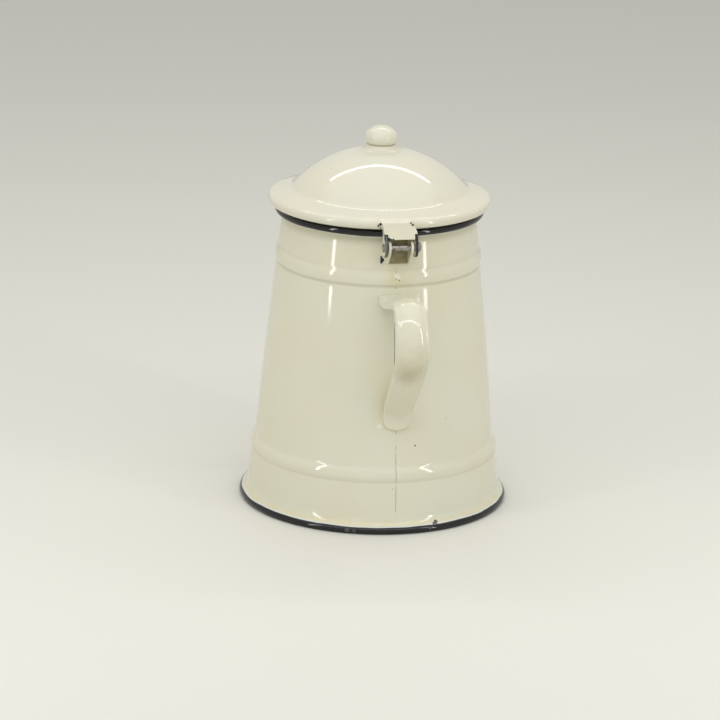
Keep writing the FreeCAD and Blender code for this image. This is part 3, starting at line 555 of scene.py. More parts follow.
@dataclass
class EnamelWork:
    """What is on one enamelled piece, besides its even cream.

    Args:
        finish: the enamel.
        black_over: height over which the enamel is black, if any.
        black_under: height under which the enamel is black, if any.
        stains_and_shade: centre, size and stretch of tan patches; on the handle they are painted shade, elsewhere
            stained enamel.
        chips: places where the enamel has broken off.
        blisters_and_highlights: centre and size of pale patches: blistered enamel, and painted highlights.
        shade_bands: height, reach and darkness of each band of painted shade, in creases and under overhangs.
        seam: whether the sheet's upright seam shows as a hairline.
        rusty_foot: whether the enamel is stained just over the black foot.
        edge_wear: name of the attribute that marks worn edges, if any.
        rough_extra: added roughness.
        pinholes: how dark the pinholes are.
    """

    finish: Enamel
    black_over: float | None = None
    black_under: float | None = None
    stains_and_shade: Sequence[tuple[tuple[float, float, float], float,
                           tuple[float, float, float]]] = ()
    chips: Sequence[Chip] = ()
    blisters_and_highlights: Sequence[tuple[tuple[float, float, float], float]] = ()
    shade_bands: Sequence[tuple[float, float, float]] = ()
    seam: bool = False
    rusty_foot: bool = False
    edge_wear: str | None = None
    rough_extra: float = 0.0
    pinholes: float = 0.6

    def material(self, name: str) -> bpy.types.Material:
        """Build the material.

        Returns:
            Cream enamel with the marks that this piece has.
        """
        material = bpy.data.materials.new(name)
        material.use_nodes = True
        tree = material.node_tree
        tree.nodes.clear()
        masks = Masks(tree)
        look = self.finish
        shade = masks.ramp(masks.noise(46.0, 2.0, 0.45), 0.3, 0.7)
        colour = masks.mix(shade, linear(look.cream), linear(look.warm))
        if self.rusty_foot:
            uneven = masks.noise(8.0, 4.0, 0.65, (1.0, 1.0, 1.6))
            reach = masks.ramp(masks.math("ADD", masks.z,
                                          masks.math("MULTIPLY", uneven, -9.0)), 3.8, -0.6)
            colour = masks.mix(masks.math("MULTIPLY", reach, 0.45), colour, linear(look.stain_and_shade))
        # Tan patches: stained enamel, and on the handle painted shade under its lower bend.
        for centre, size, stretch in self.stains_and_shade:
            away = add(tree, "ShaderNodeVectorMath", {0: masks.millimetres, 1: centre},
                       operation="SUBTRACT")
            shaped = add(tree, "ShaderNodeVectorMath", {0: away.outputs[0], 1: stretch},
                         operation="MULTIPLY")
            length = add(tree, "ShaderNodeVectorMath", {0: shaped.outputs[0]},
                         operation="LENGTH").outputs["Value"]
            lumps = masks.math("MULTIPLY", masks.noise(size * 0.5, 3.0), size * 0.9)
            amount = masks.ramp(masks.math("ADD", length, lumps), size * 1.35, size * 0.35)
            colour = masks.mix(masks.math("MULTIPLY", amount, 0.5), colour, linear(look.stain_and_shade))
        # Bands of painted shade: the colour darkens towards olive grey along a height, where shade falls in a
        # crease or under an overhang.
        for level, reach, dark in self.shade_bands:
            wander = masks.math("MULTIPLY", masks.math("SUBTRACT", masks.noise(11.0), 0.5), 0.3)
            away = masks.math("ABSOLUTE", masks.math("ADD", masks.math("SUBTRACT", masks.z, level),
                                                     wander))
            line = masks.math("MULTIPLY", masks.ramp(away, reach, 0.1), dark)
            colour = masks.mix(line, colour, linear("#8F8A6C"))
        # Pale patches: blistered enamel, and painted highlights.
        for centre, size in self.blisters_and_highlights:
            pale = masks.spot(centre, size, size * 0.7)
            colour = masks.mix(masks.math("MULTIPLY", pale, 0.5), colour, linear("#F0EFE6"))
        colour = self.speckle(masks, colour)
        if self.seam:
            colour = self.seam_line(masks, colour)
        black = self.black_mask(masks)
        if black is not None:
            # A thin pale line along the black edge: the black thinning out, with a painted cool reflection along
            # it.
            edge = masks.math("SUBTRACT", masks.ramp(black, 0.0, 0.35), masks.ramp(black, 0.45, 0.8))
            colour = masks.mix(edge, colour, linear(look.pale))
            colour = masks.mix(masks.ramp(black, 0.45, 0.75), colour, linear(look.black))
        broken, bare = self.chip_masks(masks)
        metal: object = 0.0
        rough: object = look.rough + self.rough_extra
        uneven = masks.math("MULTIPLY", masks.noise(7.0, 3.0), 0.05)
        rough = masks.math("ADD", uneven, look.rough + self.rough_extra - 0.025)
        if broken is not None:
            colour = masks.mix(broken, colour, linear(look.broken))
            rough = masks.blend(broken, rough, 0.42)
        if bare is not None:
            colour = masks.mix(bare, colour, linear(look.steel))
            metal = masks.math("MULTIPLY", bare, 0.75)
            rough = masks.blend(bare, rough, 0.38)
        height = self.relief(masks, broken)
        shader = add(tree, "ShaderNodeBsdfPrincipled",
                     {"Base Color": colour, "Roughness": rough, "IOR": look.ior,
                      "Metallic": metal, "Normal": height})
        add(tree, "ShaderNodeOutputMaterial", {"Surface": shader.outputs[0]})
        return material

    def speckle(self, masks: Masks, colour: Socket) -> Socket:
        """Lay a few pinholes over the enamel: cells of 11 mm, of which few hold a dot."""
        cells = add(masks.tree, "ShaderNodeTexVoronoi",
                    {"Vector": masks.millimetres, "Scale": 1 / 11.0})
        picked = add(masks.tree, "ShaderNodeSeparateXYZ", {0: cells.outputs["Color"]})
        chosen = masks.ramp(picked.outputs[0], 0.78, 0.8)
        dot = masks.ramp(cells.outputs["Distance"], 0.045, 0.02)
        amount = masks.math("MULTIPLY", masks.math("MULTIPLY", chosen, dot), self.pinholes)
        return masks.mix(amount, colour, linear(self.finish.broken))

    def seam_line(self, masks: Masks, colour: Socket) -> Socket:
        """Lay the upright weld's hairline at the back, broken by noise along its height."""
        wander = masks.math("MULTIPLY", masks.math("SUBTRACT", masks.noise(14.0, 2.0), 0.5), 0.5)
        side = masks.math("ABSOLUTE", masks.math("ADD", masks.y, wander))
        line = masks.ramp(side, 0.34, 0.1)
        back = masks.ramp(masks.x, -20.0, -30.0)
        gaps = masks.ramp(masks.noise(6.0, 2.0, 0.6, (0.2, 0.2, 1.0), 31.0), 0.36, 0.56)
        amount = masks.math("MULTIPLY", masks.math("MULTIPLY", line, back), gaps)
        low = masks.ramp(masks.z, 118.0, 112.0)
        amount = masks.math("MULTIPLY", amount, masks.math("MULTIPLY", low, 0.5))
        return masks.mix(amount, colour, linear("#5F5843"))

    def black_mask(self, masks: Masks) -> Socket | None:
        """Depth into the black edge, in millimetres, with a brushed boundary."""
        wander = masks.math("MULTIPLY", masks.math("SUBTRACT", masks.noise(16.0, 2.0), 0.5), 0.7)
        found = []
        if self.black_over is not None:
            found.append(masks.math("ADD", masks.math("SUBTRACT", masks.z, self.black_over),
                                    wander))
        if self.black_under is not None:
            found.append(masks.math("ADD", masks.math("SUBTRACT", self.black_under, masks.z),
                                    wander))
        return masks.most(found) if found else None

    def chip_masks(self, masks: Masks) -> tuple[Socket | None, Socket | None]:
        """Masks of broken enamel and of the bare steel inside it."""
        broken = [masks.spot(chip.place, chip.size, chip.size * 0.5) for chip in self.chips]
        bare = [masks.math("MULTIPLY", masks.spot(chip.place, chip.size * 0.72,
                                                  chip.size * 0.4), chip.bare)
                for chip in self.chips if chip.bare > 0]
        if self.edge_wear is not None:
            worn = add(masks.tree, "ShaderNodeAttribute",
                       attribute_name=self.edge_wear).outputs["Fac"]
            patchy = masks.math("MULTIPLY", masks.math("SUBTRACT", masks.noise(2.6, 3.0), 0.5),
                                0.3)
            worn = masks.math("ADD", worn, patchy)
            broken.append(masks.ramp(worn, 0.46, 0.54))
            bare.append(masks.ramp(worn, 0.78, 0.9))
        return (masks.most(broken) if broken else None, masks.most(bare) if bare else None)

    def relief(self, masks: Masks, broken: Socket | None) -> Socket:
        """Unevenness of the fired glass: drained waves of 13 mm and a fine orange peel."""
        waves = masks.math("MULTIPLY", masks.noise(13.0, 1.0), 0.05)
        peel = masks.math("MULTIPLY", masks.noise(1.9, 1.0), 0.004)
        height = masks.math("ADD", waves, peel)
        if broken is not None:
            height = masks.math("SUBTRACT", height, masks.math("MULTIPLY", broken, 0.25))
        bump = add(masks.tree, "ShaderNodeBump",
                   {"Height": height, "Strength": 1.0, "Distance": METRES})
        return bump.outputs[0]


@dataclass(frozen=True)
class Steel:
    """Drawn steel wire and rivets, dulled by years of washing.

    It gives the eye a soft grey metal with brown rust in its dull places.
    """

    metal: str = "#A9A6A1"
    rust: str = "#5C5140"
    rough: float = 0.34

    def material(self, name: str, rusty: float) -> bpy.types.Material:
        """Build the material.

        Args:
            name: the material's name.
            rusty: how much rust shows, from 0 to 1.

        Returns:
            Steel with rust patches of about 1.5 mm.
        """
        material = bpy.data.materials.new(name)
        material.use_nodes = True
        tree = material.node_tree
        tree.nodes.clear()
        masks = Masks(tree)
        patches = masks.ramp(masks.noise(1.5, 4.0, 0.6), 0.62 - 0.3 * rusty, 0.82 - 0.3 * rusty)
        colour = masks.mix(patches, linear(self.metal), linear(self.rust))
        rough = masks.blend(patches, self.rough, 0.75)
        metal = masks.blend(patches, 1.0, 0.15)
        scratch = masks.noise(0.35, 2.0, 0.6, (1.0, 0.15, 1.0))
        bump = add(tree, "ShaderNodeBump",
                   {"Height": masks.math("MULTIPLY", scratch, 0.02), "Strength": 1.0,
                    "Distance": METRES})
        shader = add(tree, "ShaderNodeBsdfPrincipled",
                     {"Base Color": colour, "Roughness": rough, "Metallic": metal,
                      "Normal": bump.outputs[0]})
        add(tree, "ShaderNodeOutputMaterial", {"Surface": shader.outputs[0]})
        return material


def dress(piece: bpy.types.Object, material: bpy.types.Material) -> None:
    """Give a piece one material."""
    piece.data.materials.clear()
    piece.data.materials.append(material)


def settle(piece: bpy.types.Object, body: Body, nodes: Sequence[str]) -> None:
    """Ride a piece on its body and let it stand for its nodes."""
    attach(piece, body.value)
    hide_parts(*nodes)
    LOG.info("%s: %d faces on %s, for %s", piece.name, len(piece.data.polygons), body.value,
             ", ".join(nodes))


# Sub-assemblies


@dataclass
class PotBody:
    """The tapered body with its rolled edges, beads and strainer, and its bottom."""

    wall: float = 1.0
    skirt: tuple[tuple[float, float], tuple[float, float]] = ((69.2, 10.2), (67.5, 27.9))
    foot_radius: float = 73.8
    foot_roll: float = 1.95
    foot_flat: float = 0.12
    flare_bend: float = 7.6
    low_bead: tuple[float, float, float] = (28.0, 35.6, 7.4)
    cone_foot: tuple[float, float] = (65.65, 35.6)
    high_bead: tuple[float, float, float] = (134.0, 142.6, 9.8)
    belly: float = 0.5
    neck_radius: float = 53.4
    neck_start: float = 157.6
    rim_height: float = 162.9
    mouth_roll: float = 2.3
    curl_end: float = 120.0
    around: int = 336
    strainer_rows: tuple[int, ...] = (2, 3, 2, 3, 2)
    strainer_height: float = 60.0
    strainer_pitch: float = 7.6
    strainer_hole: float = 2.5

    def cone_at(self, height: Array | float) -> Array | float:
        """Radius of the tapered wall: a straight line from the lower bead to the neck."""
        low, start = self.cone_foot
        taper = (self.neck_radius - low) / (self.neck_start - start)
        return low + taper * (height - start)

    def profile(self) -> Array:
        """The sheet's section, from the foot's curl up the outside and down the inside.

        The skirt leans out a little, and flares in an arc that meets the rolled edge in a
        common tangent.
        """
        wall, roll, bend = self.wall, self.foot_roll, self.flare_bend
        (low_r, low_z), (high_r, high_z) = self.skirt
        slope = math.atan2(low_r - high_r, high_z - low_z)
        foot = (self.foot_radius - roll, roll - self.foot_flat)
        run = low_r + bend * math.cos(slope) - foot[0]
        centre = (foot[0] + run, foot[1] + math.sqrt((roll + bend) ** 2 - run ** 2))
        lean = math.degrees(math.atan2(centre[1] - foot[1], run))
        start = polar(centre, bend, 180 + math.degrees(slope))
        flat = math.sqrt(roll ** 2 - foot[1] ** 2)
        low, high, neck = self.low_bead, self.high_bead, self.neck_radius
        curl = trace([polar(foot, roll, 150), (foot[0] - flat, 0.0), (foot[0] + flat, 0.0),
                      polar(foot, roll, lean)], {0: Bend(roll, True), 2: Bend(roll, True)},
                     0.6, False)[:-1]
        wall_line = trace(
            [polar(foot, roll, lean), start, (high_r, low[0]), (self.cone_foot[0], low[1]),
             (self.cone_at(high[0]), high[0]), (self.cone_at(high[1]), high[1]),
             (neck, self.neck_start), (neck, self.rim_height)],
            {0: Bend(bend, False), 2: Bend(low[2], True), 4: Bend(high[2], True)}, 0.3, False)
        outside = soften(wall_line, 0.7)
        along = np.gradient(outside, axis=0)
        along /= np.hypot(along[:, 0], along[:, 1])[:, None]
        inside = outside + np.stack([-along[:, 1], along[:, 0]], axis=1) * wall
        inside[-1] = (neck - wall, self.rim_height)
        rim = (neck - wall + self.mouth_roll, self.rim_height)
        hollow = self.mouth_roll - wall
        mouth = trace([(neck, rim[1]), polar(rim, hollow, -self.curl_end),
                       polar(rim, self.mouth_roll, -self.curl_end), (neck - wall, rim[1])],
                      {0: Bend(hollow, False, True), 2: Bend(self.mouth_roll, True, True)},
                      0.45, False)[1:-1]
        tuck = trace([polar(foot, roll - wall, lean), polar(foot, roll - wall, 150)],
                     {0: Bend(roll - wall, False, True)}, 0.5, False)
        return np.concatenate([curl, outside, mouth, inside[::-1], tuck[1:]])

    def unevenness(self, turn: Array, height: Array) -> Array:
        """A faint belly and hand work, none at the edges.

        The belly is half a sine wave between the beads. The rest is three cosines of the
        angle, each leaning with the height, times a window that is zero at foot and mouth.
        """
        share = np.clip((height - self.low_bead[1]) / (self.high_bead[0] - self.low_bead[1]),
                        0, 1)
        window = np.clip((height - 12) / 20, 0, 1) * np.clip((156 - height) / 14, 0, 1)
        waves = (np.cos(3 * turn + height * 0.021) + 0.7 * np.cos(5 * turn - height * 0.034 + 1.1)
                 + 0.5 * np.cos(8 * turn + height * 0.055 + 2.3))
        return self.belly * np.sin(math.pi * share) - 0.05 * window * (1.0 + waves / 2.2)

    def strainer_pins(self) -> bpy.types.Object:
        """Round pins where the strainer holes go, in rows of two and three."""
        pins = []
        rise = self.strainer_pitch * math.sin(math.radians(60))
        turn = np.linspace(0, 2 * math.pi, 28, endpoint=False)
        for row, count in enumerate(self.strainer_rows):
            up = self.strainer_height + rise * (row - (len(self.strainer_rows) - 1) / 2)
            for place in range(count):
                side = self.strainer_pitch * (place - (count - 1) / 2)
                ring = np.stack([np.zeros_like(turn), side + self.strainer_hole * np.cos(turn),
                                 up + self.strainer_hole * np.sin(turn)], axis=1)
                points = np.concatenate([ring + [55.0, 0, 0], ring + [70.0, 0, 0]])
                faces = grid_quads(2, len(turn), False, True).tolist()
                faces.append(list(range(len(turn)))[::-1])
                faces.append(list(range(len(turn), 2 * len(turn))))
                pins.append(make_piece("pin", points, faces))
        return join("strainer_pins", pins)

    def build(self) -> list[bpy.types.Object]:
        """Build the body and its bottom.

        Returns:
            The pieces.
        """
        shell = turned("body_enamel", self.profile(), self.around, shift=self.unevenness)
        cut_away(shell, self.strainer_pins())
        work = EnamelWork(
            Enamel(),
            black_over=160.75,
            black_under=4.4,
            stains_and_shade=(((-57.0, -0.5, 140.0), 14.0, (1.0, 1.0, 0.9)),
                    ((-61.5, 6.0, 70.0), 16.0, (1.0, 1.4, 0.8))),
            chips=(Chip((-68.3, -22.6, 5.6), 1.6, 1.0), Chip((-69.0, -22.0, 4.4), 1.5, 0.9),
                   Chip((-69.0, 26.4, 2.2), 1.9, 0.35), Chip((-70.2, 22.9, 2.0), 1.4, 0.3),
                   Chip((-71.3, -18.9, 2.4), 1.0, 0.5), Chip((-63.6, -10.6, 47.1), 0.5),
                   Chip((-57.6, 17.2, 90.2), 0.35), Chip((-55.0, 0.7, 143.6), 0.32),
                   Chip((-55.5, 0.7, 141.9), 0.38), Chip((-56.3, 1.2, 140.3), 0.34),
                   Chip((-56.4, -0.3, 139.4), 0.32), Chip((-56.4, -1.0, 137.4), 0.42),
                   Chip((-56.4, 0.7, 138.1), 0.3), Chip((-56.1, 0.8, 133.1), 0.42),
                   Chip((-56.4, 0.9, 130.4), 0.3)),
            # The two pale spots at 58 mm, beside the handle's lower end, are a painted highlight on a small weld
            # tab that is not built; the other two are blistered enamel.
            blisters_and_highlights=(((-56.4, 0.3, 139.9), 1.5), ((-56.4, -0.9, 138.2), 1.1),
                       ((-63.0, 9.4, 58.3), 1.2), ((-63.2, 7.9, 58.0), 0.8)),
            # Painted shade: dark lines in the creases of both beads, and a wide band on the neck under the mouth's
            # rim, where the lid shades it.
            shade_bands=((134.0, 1.5, 0.3), (142.7, 1.2, 0.08), (27.9, 1.1, 0.12), (158.8, 4.6, 0.3)),
            seam=True,
            rusty_foot=True,
        )
        dress(shell, work.material("fired cream enamel with black edges"))
        settle(shell, Body.POT, ["body_shell"])
        return [shell, self.build_bottom()]

    def build_bottom(self) -> bpy.types.Object:
        """Build the shallow pan welded inside the skirt."""
        wall, bend, low, dish = self.wall, 3.0, 10.0, 1.2
        outer, top = 66.5, 20.5
        middle = outer - bend - 8.9
        corners = [
            (0.0, low + dish), (middle - 2 * dish, low + dish), (middle, low),
            (outer - bend, low), (outer, low + bend), (outer, top), (outer - wall, top),
            (outer - wall, low + bend), (outer - bend, low + wall), (middle, low + wall),
            (middle - 2 * dish, low + dish + wall), (0.0, low + dish + wall),
        ]
        bends = {3: Bend(bend, True), 7: Bend(bend - wall, False)}
        piece = turned("bottom_enamel", trace(corners, bends, 0.6, closed=False), 256, False)
        work = EnamelWork(Enamel(), chips=(Chip((31.0, 18.0, 11.0), 1.6, 0.5),
                                           Chip((-44.0, -9.0, 10.2), 1.2, 0.5)))
        dress(piece, work.material("fired cream enamel of the bottom"))
        settle(piece, Body.POT, ["bottom_disc"])
        return piece


@dataclass
class Spout:
    """The gooseneck spout: two pressed halves welded along the pot's middle plane.

    Each station holds reach, height, slope, and the share of the way from the root's half width and half depth to
    the tip's.
    """

    pot: PotBody
    wall: float = 1.2
    root: tuple[float, float] = (17.0, 20.0)
    tip: tuple[float, float] = (7.2, 7.8)
    places: tuple[tuple[float, float, float, float], ...] = (
        (48.0, 50.0, 28.0, 0.0), (70.0, 66.0, 46.0, 0.25), (84.5, 88.0, 64.0, 0.56),
        (93.5, 114.0, 75.0, 0.80), (100.0, 137.0, 71.0, 0.95), (107.5, 154.0, 62.0, 1.0))
    stations: int = 110
    turns: int = 34

    def half(self, name: str, side: float) -> bpy.types.Object:
        """Build one half.

        A section is an arc through the half width and both ends of the depth. The tube's
        wall is the same arc with a radius smaller by the sheet.

        Args:
            name: the piece's name.
            side: 1 for +Y or -1 for -Y.

        Returns:
            The half, cut off at the body's wall.
        """
        rows = smooth_through(self.places, self.stations)
        reach, height, share = rows[:, 0], rows[:, 1], rows[:, 3]
        lean = np.radians(rows[:, 2])
        width = self.root[0] + (self.tip[0] - self.root[0]) * share
        depth = self.root[1] + (self.tip[1] - self.root[1]) * share
        away = np.hypot(reach, 0) - self.pot.cone_at(height)
        swell = 1.9 * np.exp(-np.abs(away) / 7.0)
        lip = -0.02 * np.exp(-((self.stations - 1 - np.arange(self.stations)) / 2.2))
        width, depth = width + swell * 0.5 + lip, depth + swell * 0.3 + lip
        outer = (width ** 2 + depth ** 2) / (2 * width)
        sunk = outer - width
        loops = []
        for radius in (outer, outer - self.wall):
            limit = np.arccos(np.clip(sunk / radius, -1, 1))
            turn = np.linspace(-1, 1, self.turns)[None] * limit[:, None]
            loops.append((radius[:, None] * np.cos(turn) - sunk[:, None],
                          radius[:, None] * np.sin(turn)))
        across = np.concatenate([loops[0][0], loops[1][0][:, ::-1]], axis=1)
        deep = np.concatenate([loops[0][1], loops[1][1][:, ::-1]], axis=1)
        x = reach[:, None] - np.sin(lean)[:, None] * deep
        z = height[:, None] + np.cos(lean)[:, None] * deep
        points = np.stack([x, side * across, z], axis=-1).reshape(-1, 3)
        count = 2 * self.turns
        faces = grid_quads(self.stations, count, False, True).tolist()
        half = np.arange(self.turns - 1)
        for base, flip in ((0, 1), ((self.stations - 1) * count, -1)):
            cap = np.stack([base + half, base + half + 1, base + count - 2 - half,
                            base + count - 1 - half], axis=1)[:, ::flip]
            faces += cap.tolist()
        piece = make_piece(name, points, faces)
        low, high = 8.0, 133.0
        corners = [(0.0, low), (self.pot.cone_at(low) - 0.5, low),
                   (self.pot.cone_at(high) - 0.5, high), (0.0, high)]
        inside = turned("inside", trace(corners, {}, 4.0, closed=False), 256, False)
        return cut_away(piece, inside)

    def build(self) -> list[bpy.types.Object]:
        """Build both halves.

        Returns:
            The pieces.
        """
        pieces = []
        material = self.material()
        for name, side, node in (("spout_enamel_left", 1.0, "spout_left_half"),
                                 ("spout_enamel_right", -1.0, "spout_right_half")):
            piece = self.half(name, side)
            dress(piece, material)
            settle(piece, Body.POT, [node])
            pieces.append(piece)
        return pieces

    def material(self) -> bpy.types.Material:
        """Cream enamel whose lip is black.

        The lip's mask is a plane square to the tip's slope.
        """
        work = EnamelWork(Enamel(), chips=(Chip((114.0, 2.0, 150.5), 1.1, 0.6),
                                           Chip((98.0, -9.0, 96.0), 0.8)))
        material = work.material("fired cream enamel of the spout")
        tree = material.node_tree
        masks = Masks(tree)
        slope = math.radians(self.places[-1][2])
        tip = self.places[-1]
        along = masks.math("ADD", masks.math("MULTIPLY", masks.x, math.cos(slope)),
                           masks.math("MULTIPLY", masks.z, math.sin(slope)))
        end = tip[0] * math.cos(slope) + tip[1] * math.sin(slope)
        wander = masks.math("MULTIPLY", masks.math("SUBTRACT", masks.noise(6.0), 0.5), 0.8)
        black = masks.ramp(masks.math("ADD", along, wander), end - 2.4, end - 2.0)
        shader = next(node for node in tree.nodes if node.type == "BSDF_PRINCIPLED")
        under = shader.inputs["Base Color"].links[0].from_socket
        tree.links.new(masks.mix(black, under, linear(Enamel().black)),
                       shader.inputs["Base Color"])
        return material


@dataclass
class Handle:
    """The strap handle: a channel of folded sheet with a widened root.

    Each station holds reach and height of the crown's outer line, then half width, depth
    of the flanges and rise of the crown.
    """

    pot: PotBody
    wall: float = 1.3
    corner: float = 1.3
    tilt: float = 0.45
    stations: tuple[tuple[float, float, float, float, float], ...] = (
        (54.6, 130.0, 11.0, 3.6, 0.6), (57.6, 130.5, 10.8, 5.0, 0.7),
        (61.5, 131.1, 9.8, 6.9, 0.9), (67.0, 132.0, 8.7, 6.9, 1.2),
        (74.0, 133.3, 8.2, 6.2, 1.7), (81.0, 134.6, 8.1, 6.0, 2.1),
        (86.2, 134.9, 8.1, 6.0, 2.3), (90.2, 133.2, 8.1, 6.0, 2.3),
        (94.2, 129.6, 8.15, 6.0, 2.3), (97.4, 125.4, 8.25, 6.0, 2.3),
        (99.9, 121.2, 8.4, 6.0, 2.3), (101.5, 116.2, 8.5, 6.0, 2.3),
        (101.9, 110.4, 8.4, 6.0, 2.3), (101.5, 104.4, 8.3, 6.0, 2.3),
        (100.1, 98.9, 8.3, 6.0, 2.2), (96.9, 94.2, 8.3, 6.0, 2.1),
        (90.8, 88.1, 8.2, 6.0, 2.0), (83.6, 81.5, 8.1, 6.0, 1.9),
        (76.4, 74.9, 8.0, 5.9, 1.8), (70.6, 69.6, 7.9, 5.2, 1.6),
        (67.2, 65.8, 7.8, 4.2, 1.3), (65.9, 62.2, 7.6, 3.7, 1.1),
        (65.9, 59.2, 7.0, 3.4, 0.9), (65.8, 57.3, 5.4, 3.1, 0.7),
        (65.5, 56.4, 3.0, 2.8, 0.4))
    count: int = 260

    def section(self, width: Array, depth: Array, crown: Array) -> tuple[Array, Array]:
        """The channel's closed section at every station.

        The crown is a parabola as wide as the flat part, tilted to face +Y a little, the
        corner a quarter circle, and the flange a straight line. The inside is the same line moved in by the sheet.

        Args:
            width: half width at each station.
            depth: depth at each station.
            crown: rise at each station.

        Returns:
            Places across the strap and along its outward normal.
        """
        corner = np.minimum(self.corner, width * 0.45)
        flat = width - corner
        share = np.linspace(-1, 1, 25)[None]
        quarter = np.linspace(0, math.pi / 2, 8)[1:][None]
        down = np.linspace(0, 1, 5)[1:][None]
        loops = []
        for wall in (0.0, self.wall):
            bend = np.maximum(corner - wall, 0.15)[:, None]
            lean = self.tilt * np.minimum(crown / 2.3, 1.0)[:, None]
            x = flat[:, None] * share
            z = -crown[:, None] * share ** 2 - lean * share - wall
            for side in (1.0, -1.0):
                level = -(crown[:, None] + lean * side + wall)
                corner_x = flat[:, None] + bend * np.sin(quarter)
                corner_z = level - bend * (1 - np.cos(quarter))
                end = -np.maximum(depth[:, None], 0.05 - corner_z[:, -1:])
                side_x = np.repeat(corner_x[:, -1:], down.shape[1], axis=1)
                side_z = corner_z[:, -1:] + (end - corner_z[:, -1:]) * down
                if side > 0:
                    x = np.concatenate([x, corner_x, side_x], axis=1)
                    z = np.concatenate([z, corner_z, side_z], axis=1)
                else:
                    x = np.concatenate([-side_x[:, ::-1], -corner_x[:, ::-1], x], axis=1)
                    z = np.concatenate([side_z[:, ::-1], corner_z[:, ::-1], z], axis=1)
            loops.append((x, z))
        tip_z = loops[0][1][:, :1] - 0.35
        left = (loops[0][0][:, :1] + loops[1][0][:, :1]) / 2
        across = np.concatenate([loops[0][0], -left, loops[1][0][:, ::-1], left], axis=1)
        deep = np.concatenate([loops[0][1], tip_z, loops[1][1][:, ::-1], tip_z], axis=1)
        return across, deep

    def build(self) -> list[bpy.types.Object]:
        """Carry the section along the crown's line and press its ends on the wall.

        Returns:
            The pieces.
        """
        rows = self.ease(smooth_through(self.stations, self.count))
        step = np.gradient(rows[:, :2], axis=0)
        step /= np.hypot(step[:, 0], step[:, 1])[:, None]
        across, deep = self.section(rows[:, 2], rows[:, 3], rows[:, 4])
        reach = rows[:, :1] - step[:, 1:2] * deep
        height = rows[:, 1:2] + step[:, :1] * deep
        points = np.stack([-reach, across, height], axis=-1)
        share = np.linspace(0, 1, self.count)[:, None]
        window = np.clip((share - 0.3) / 0.1, 0, 1) * np.clip((0.7 - share) / 0.14, 0, 1)
        drop = np.clip((-deep - rows[:, 4:5] - self.corner) / 2.5, 0, 1)
        points[..., 1] += window * (drop * np.sign(across) * 1.1 - 0.3)
        points[..., 1] -= np.interp(np.linspace(0, 1, self.count), [0, 0.3, 0.75, 1],
                                    [0.9, 0.75, 0.7, 0.2])[:, None]
        away = np.hypot(points[..., 0], points[..., 1])
        inner = self.pot.cone_at(points[..., 2]) - 0.45
        push = np.maximum(inner / away, 1.0)
        points[..., 0] *= push
        points[..., 1] *= push
        ring = points.shape[1]
        faces = grid_quads(self.count, ring, False, True).tolist()
        faces.append(list(range(ring))[::-1])
        faces.append(list(range((self.count - 1) * ring, self.count * ring)))
        piece = make_piece("handle_enamel", points.reshape(-1, 3), faces, 50.0)
        self.mark_edges(piece)
        # The two grey-tan patches under the lower bend are painted shade, where the strap turns downward.
        work = EnamelWork(Enamel(stain_and_shade="#B9B093"), edge_wear="worn", pinholes=0.0, stains_and_shade=(
            ((-100.5, 0.0, 99.5), 17.0, (0.8, 0.8, 0.9)),
            ((-100.0, 0.0, 96.0), 12.0, (0.8, 0.8, 0.9)),))
        dress(piece, work.material("fired cream enamel of the handle"))
        settle(piece, Body.POT, ["handle_strap"])
        return [piece]

    def ease(self, rows: Array) -> Array:
        """Even the strap's bends out between its root and its end.

        Each row becomes the mean of its neighbours, weighted by a bell curve of 4.5 mm.
        """
        reach = 26
        bell = np.exp(-0.5 * (np.arange(-reach, reach + 1) / 9.0) ** 2)
        bell /= bell.sum()
        padded = np.pad(rows, ((reach, reach), (0, 0)), mode="edge")
        even = np.stack([np.convolve(column, bell, mode="valid") for column in padded.T], axis=1)
        share = np.linspace(0, 1, len(rows))[:, None]
        weight = np.clip((share - 0.14) / 0.1, 0, 1) * np.clip((0.86 - share) / 0.1, 0, 1)
        return rows + (even - rows) * weight

    def mark_edges(self, piece: bpy.types.Object) -> None:
        """Mark the worn flange edge on the +Y side, where the knuckles rub.

        The mark is 1 at the flange's edge and falls to 0 within 0.9 mm of it.
        """
        mesh = piece.data
        ring = len(mesh.vertices) // self.count
        place = np.arange(len(mesh.vertices)) % ring
        station = (np.arange(len(mesh.vertices)) // ring) / self.count
        outer = (ring - 2) // 2
        near = np.minimum(np.abs(place - outer), 3)
        along = np.clip((station - 0.3) / 0.06, 0, 1) * np.clip((0.64 - station) / 0.08, 0, 1)
        worn = along * (1.0 - 0.27 * near)
        layer = mesh.attributes.new("worn", "FLOAT", "POINT")
        layer.data.foreach_set("value", np.clip(worn, 0, 1).astype(np.float32))


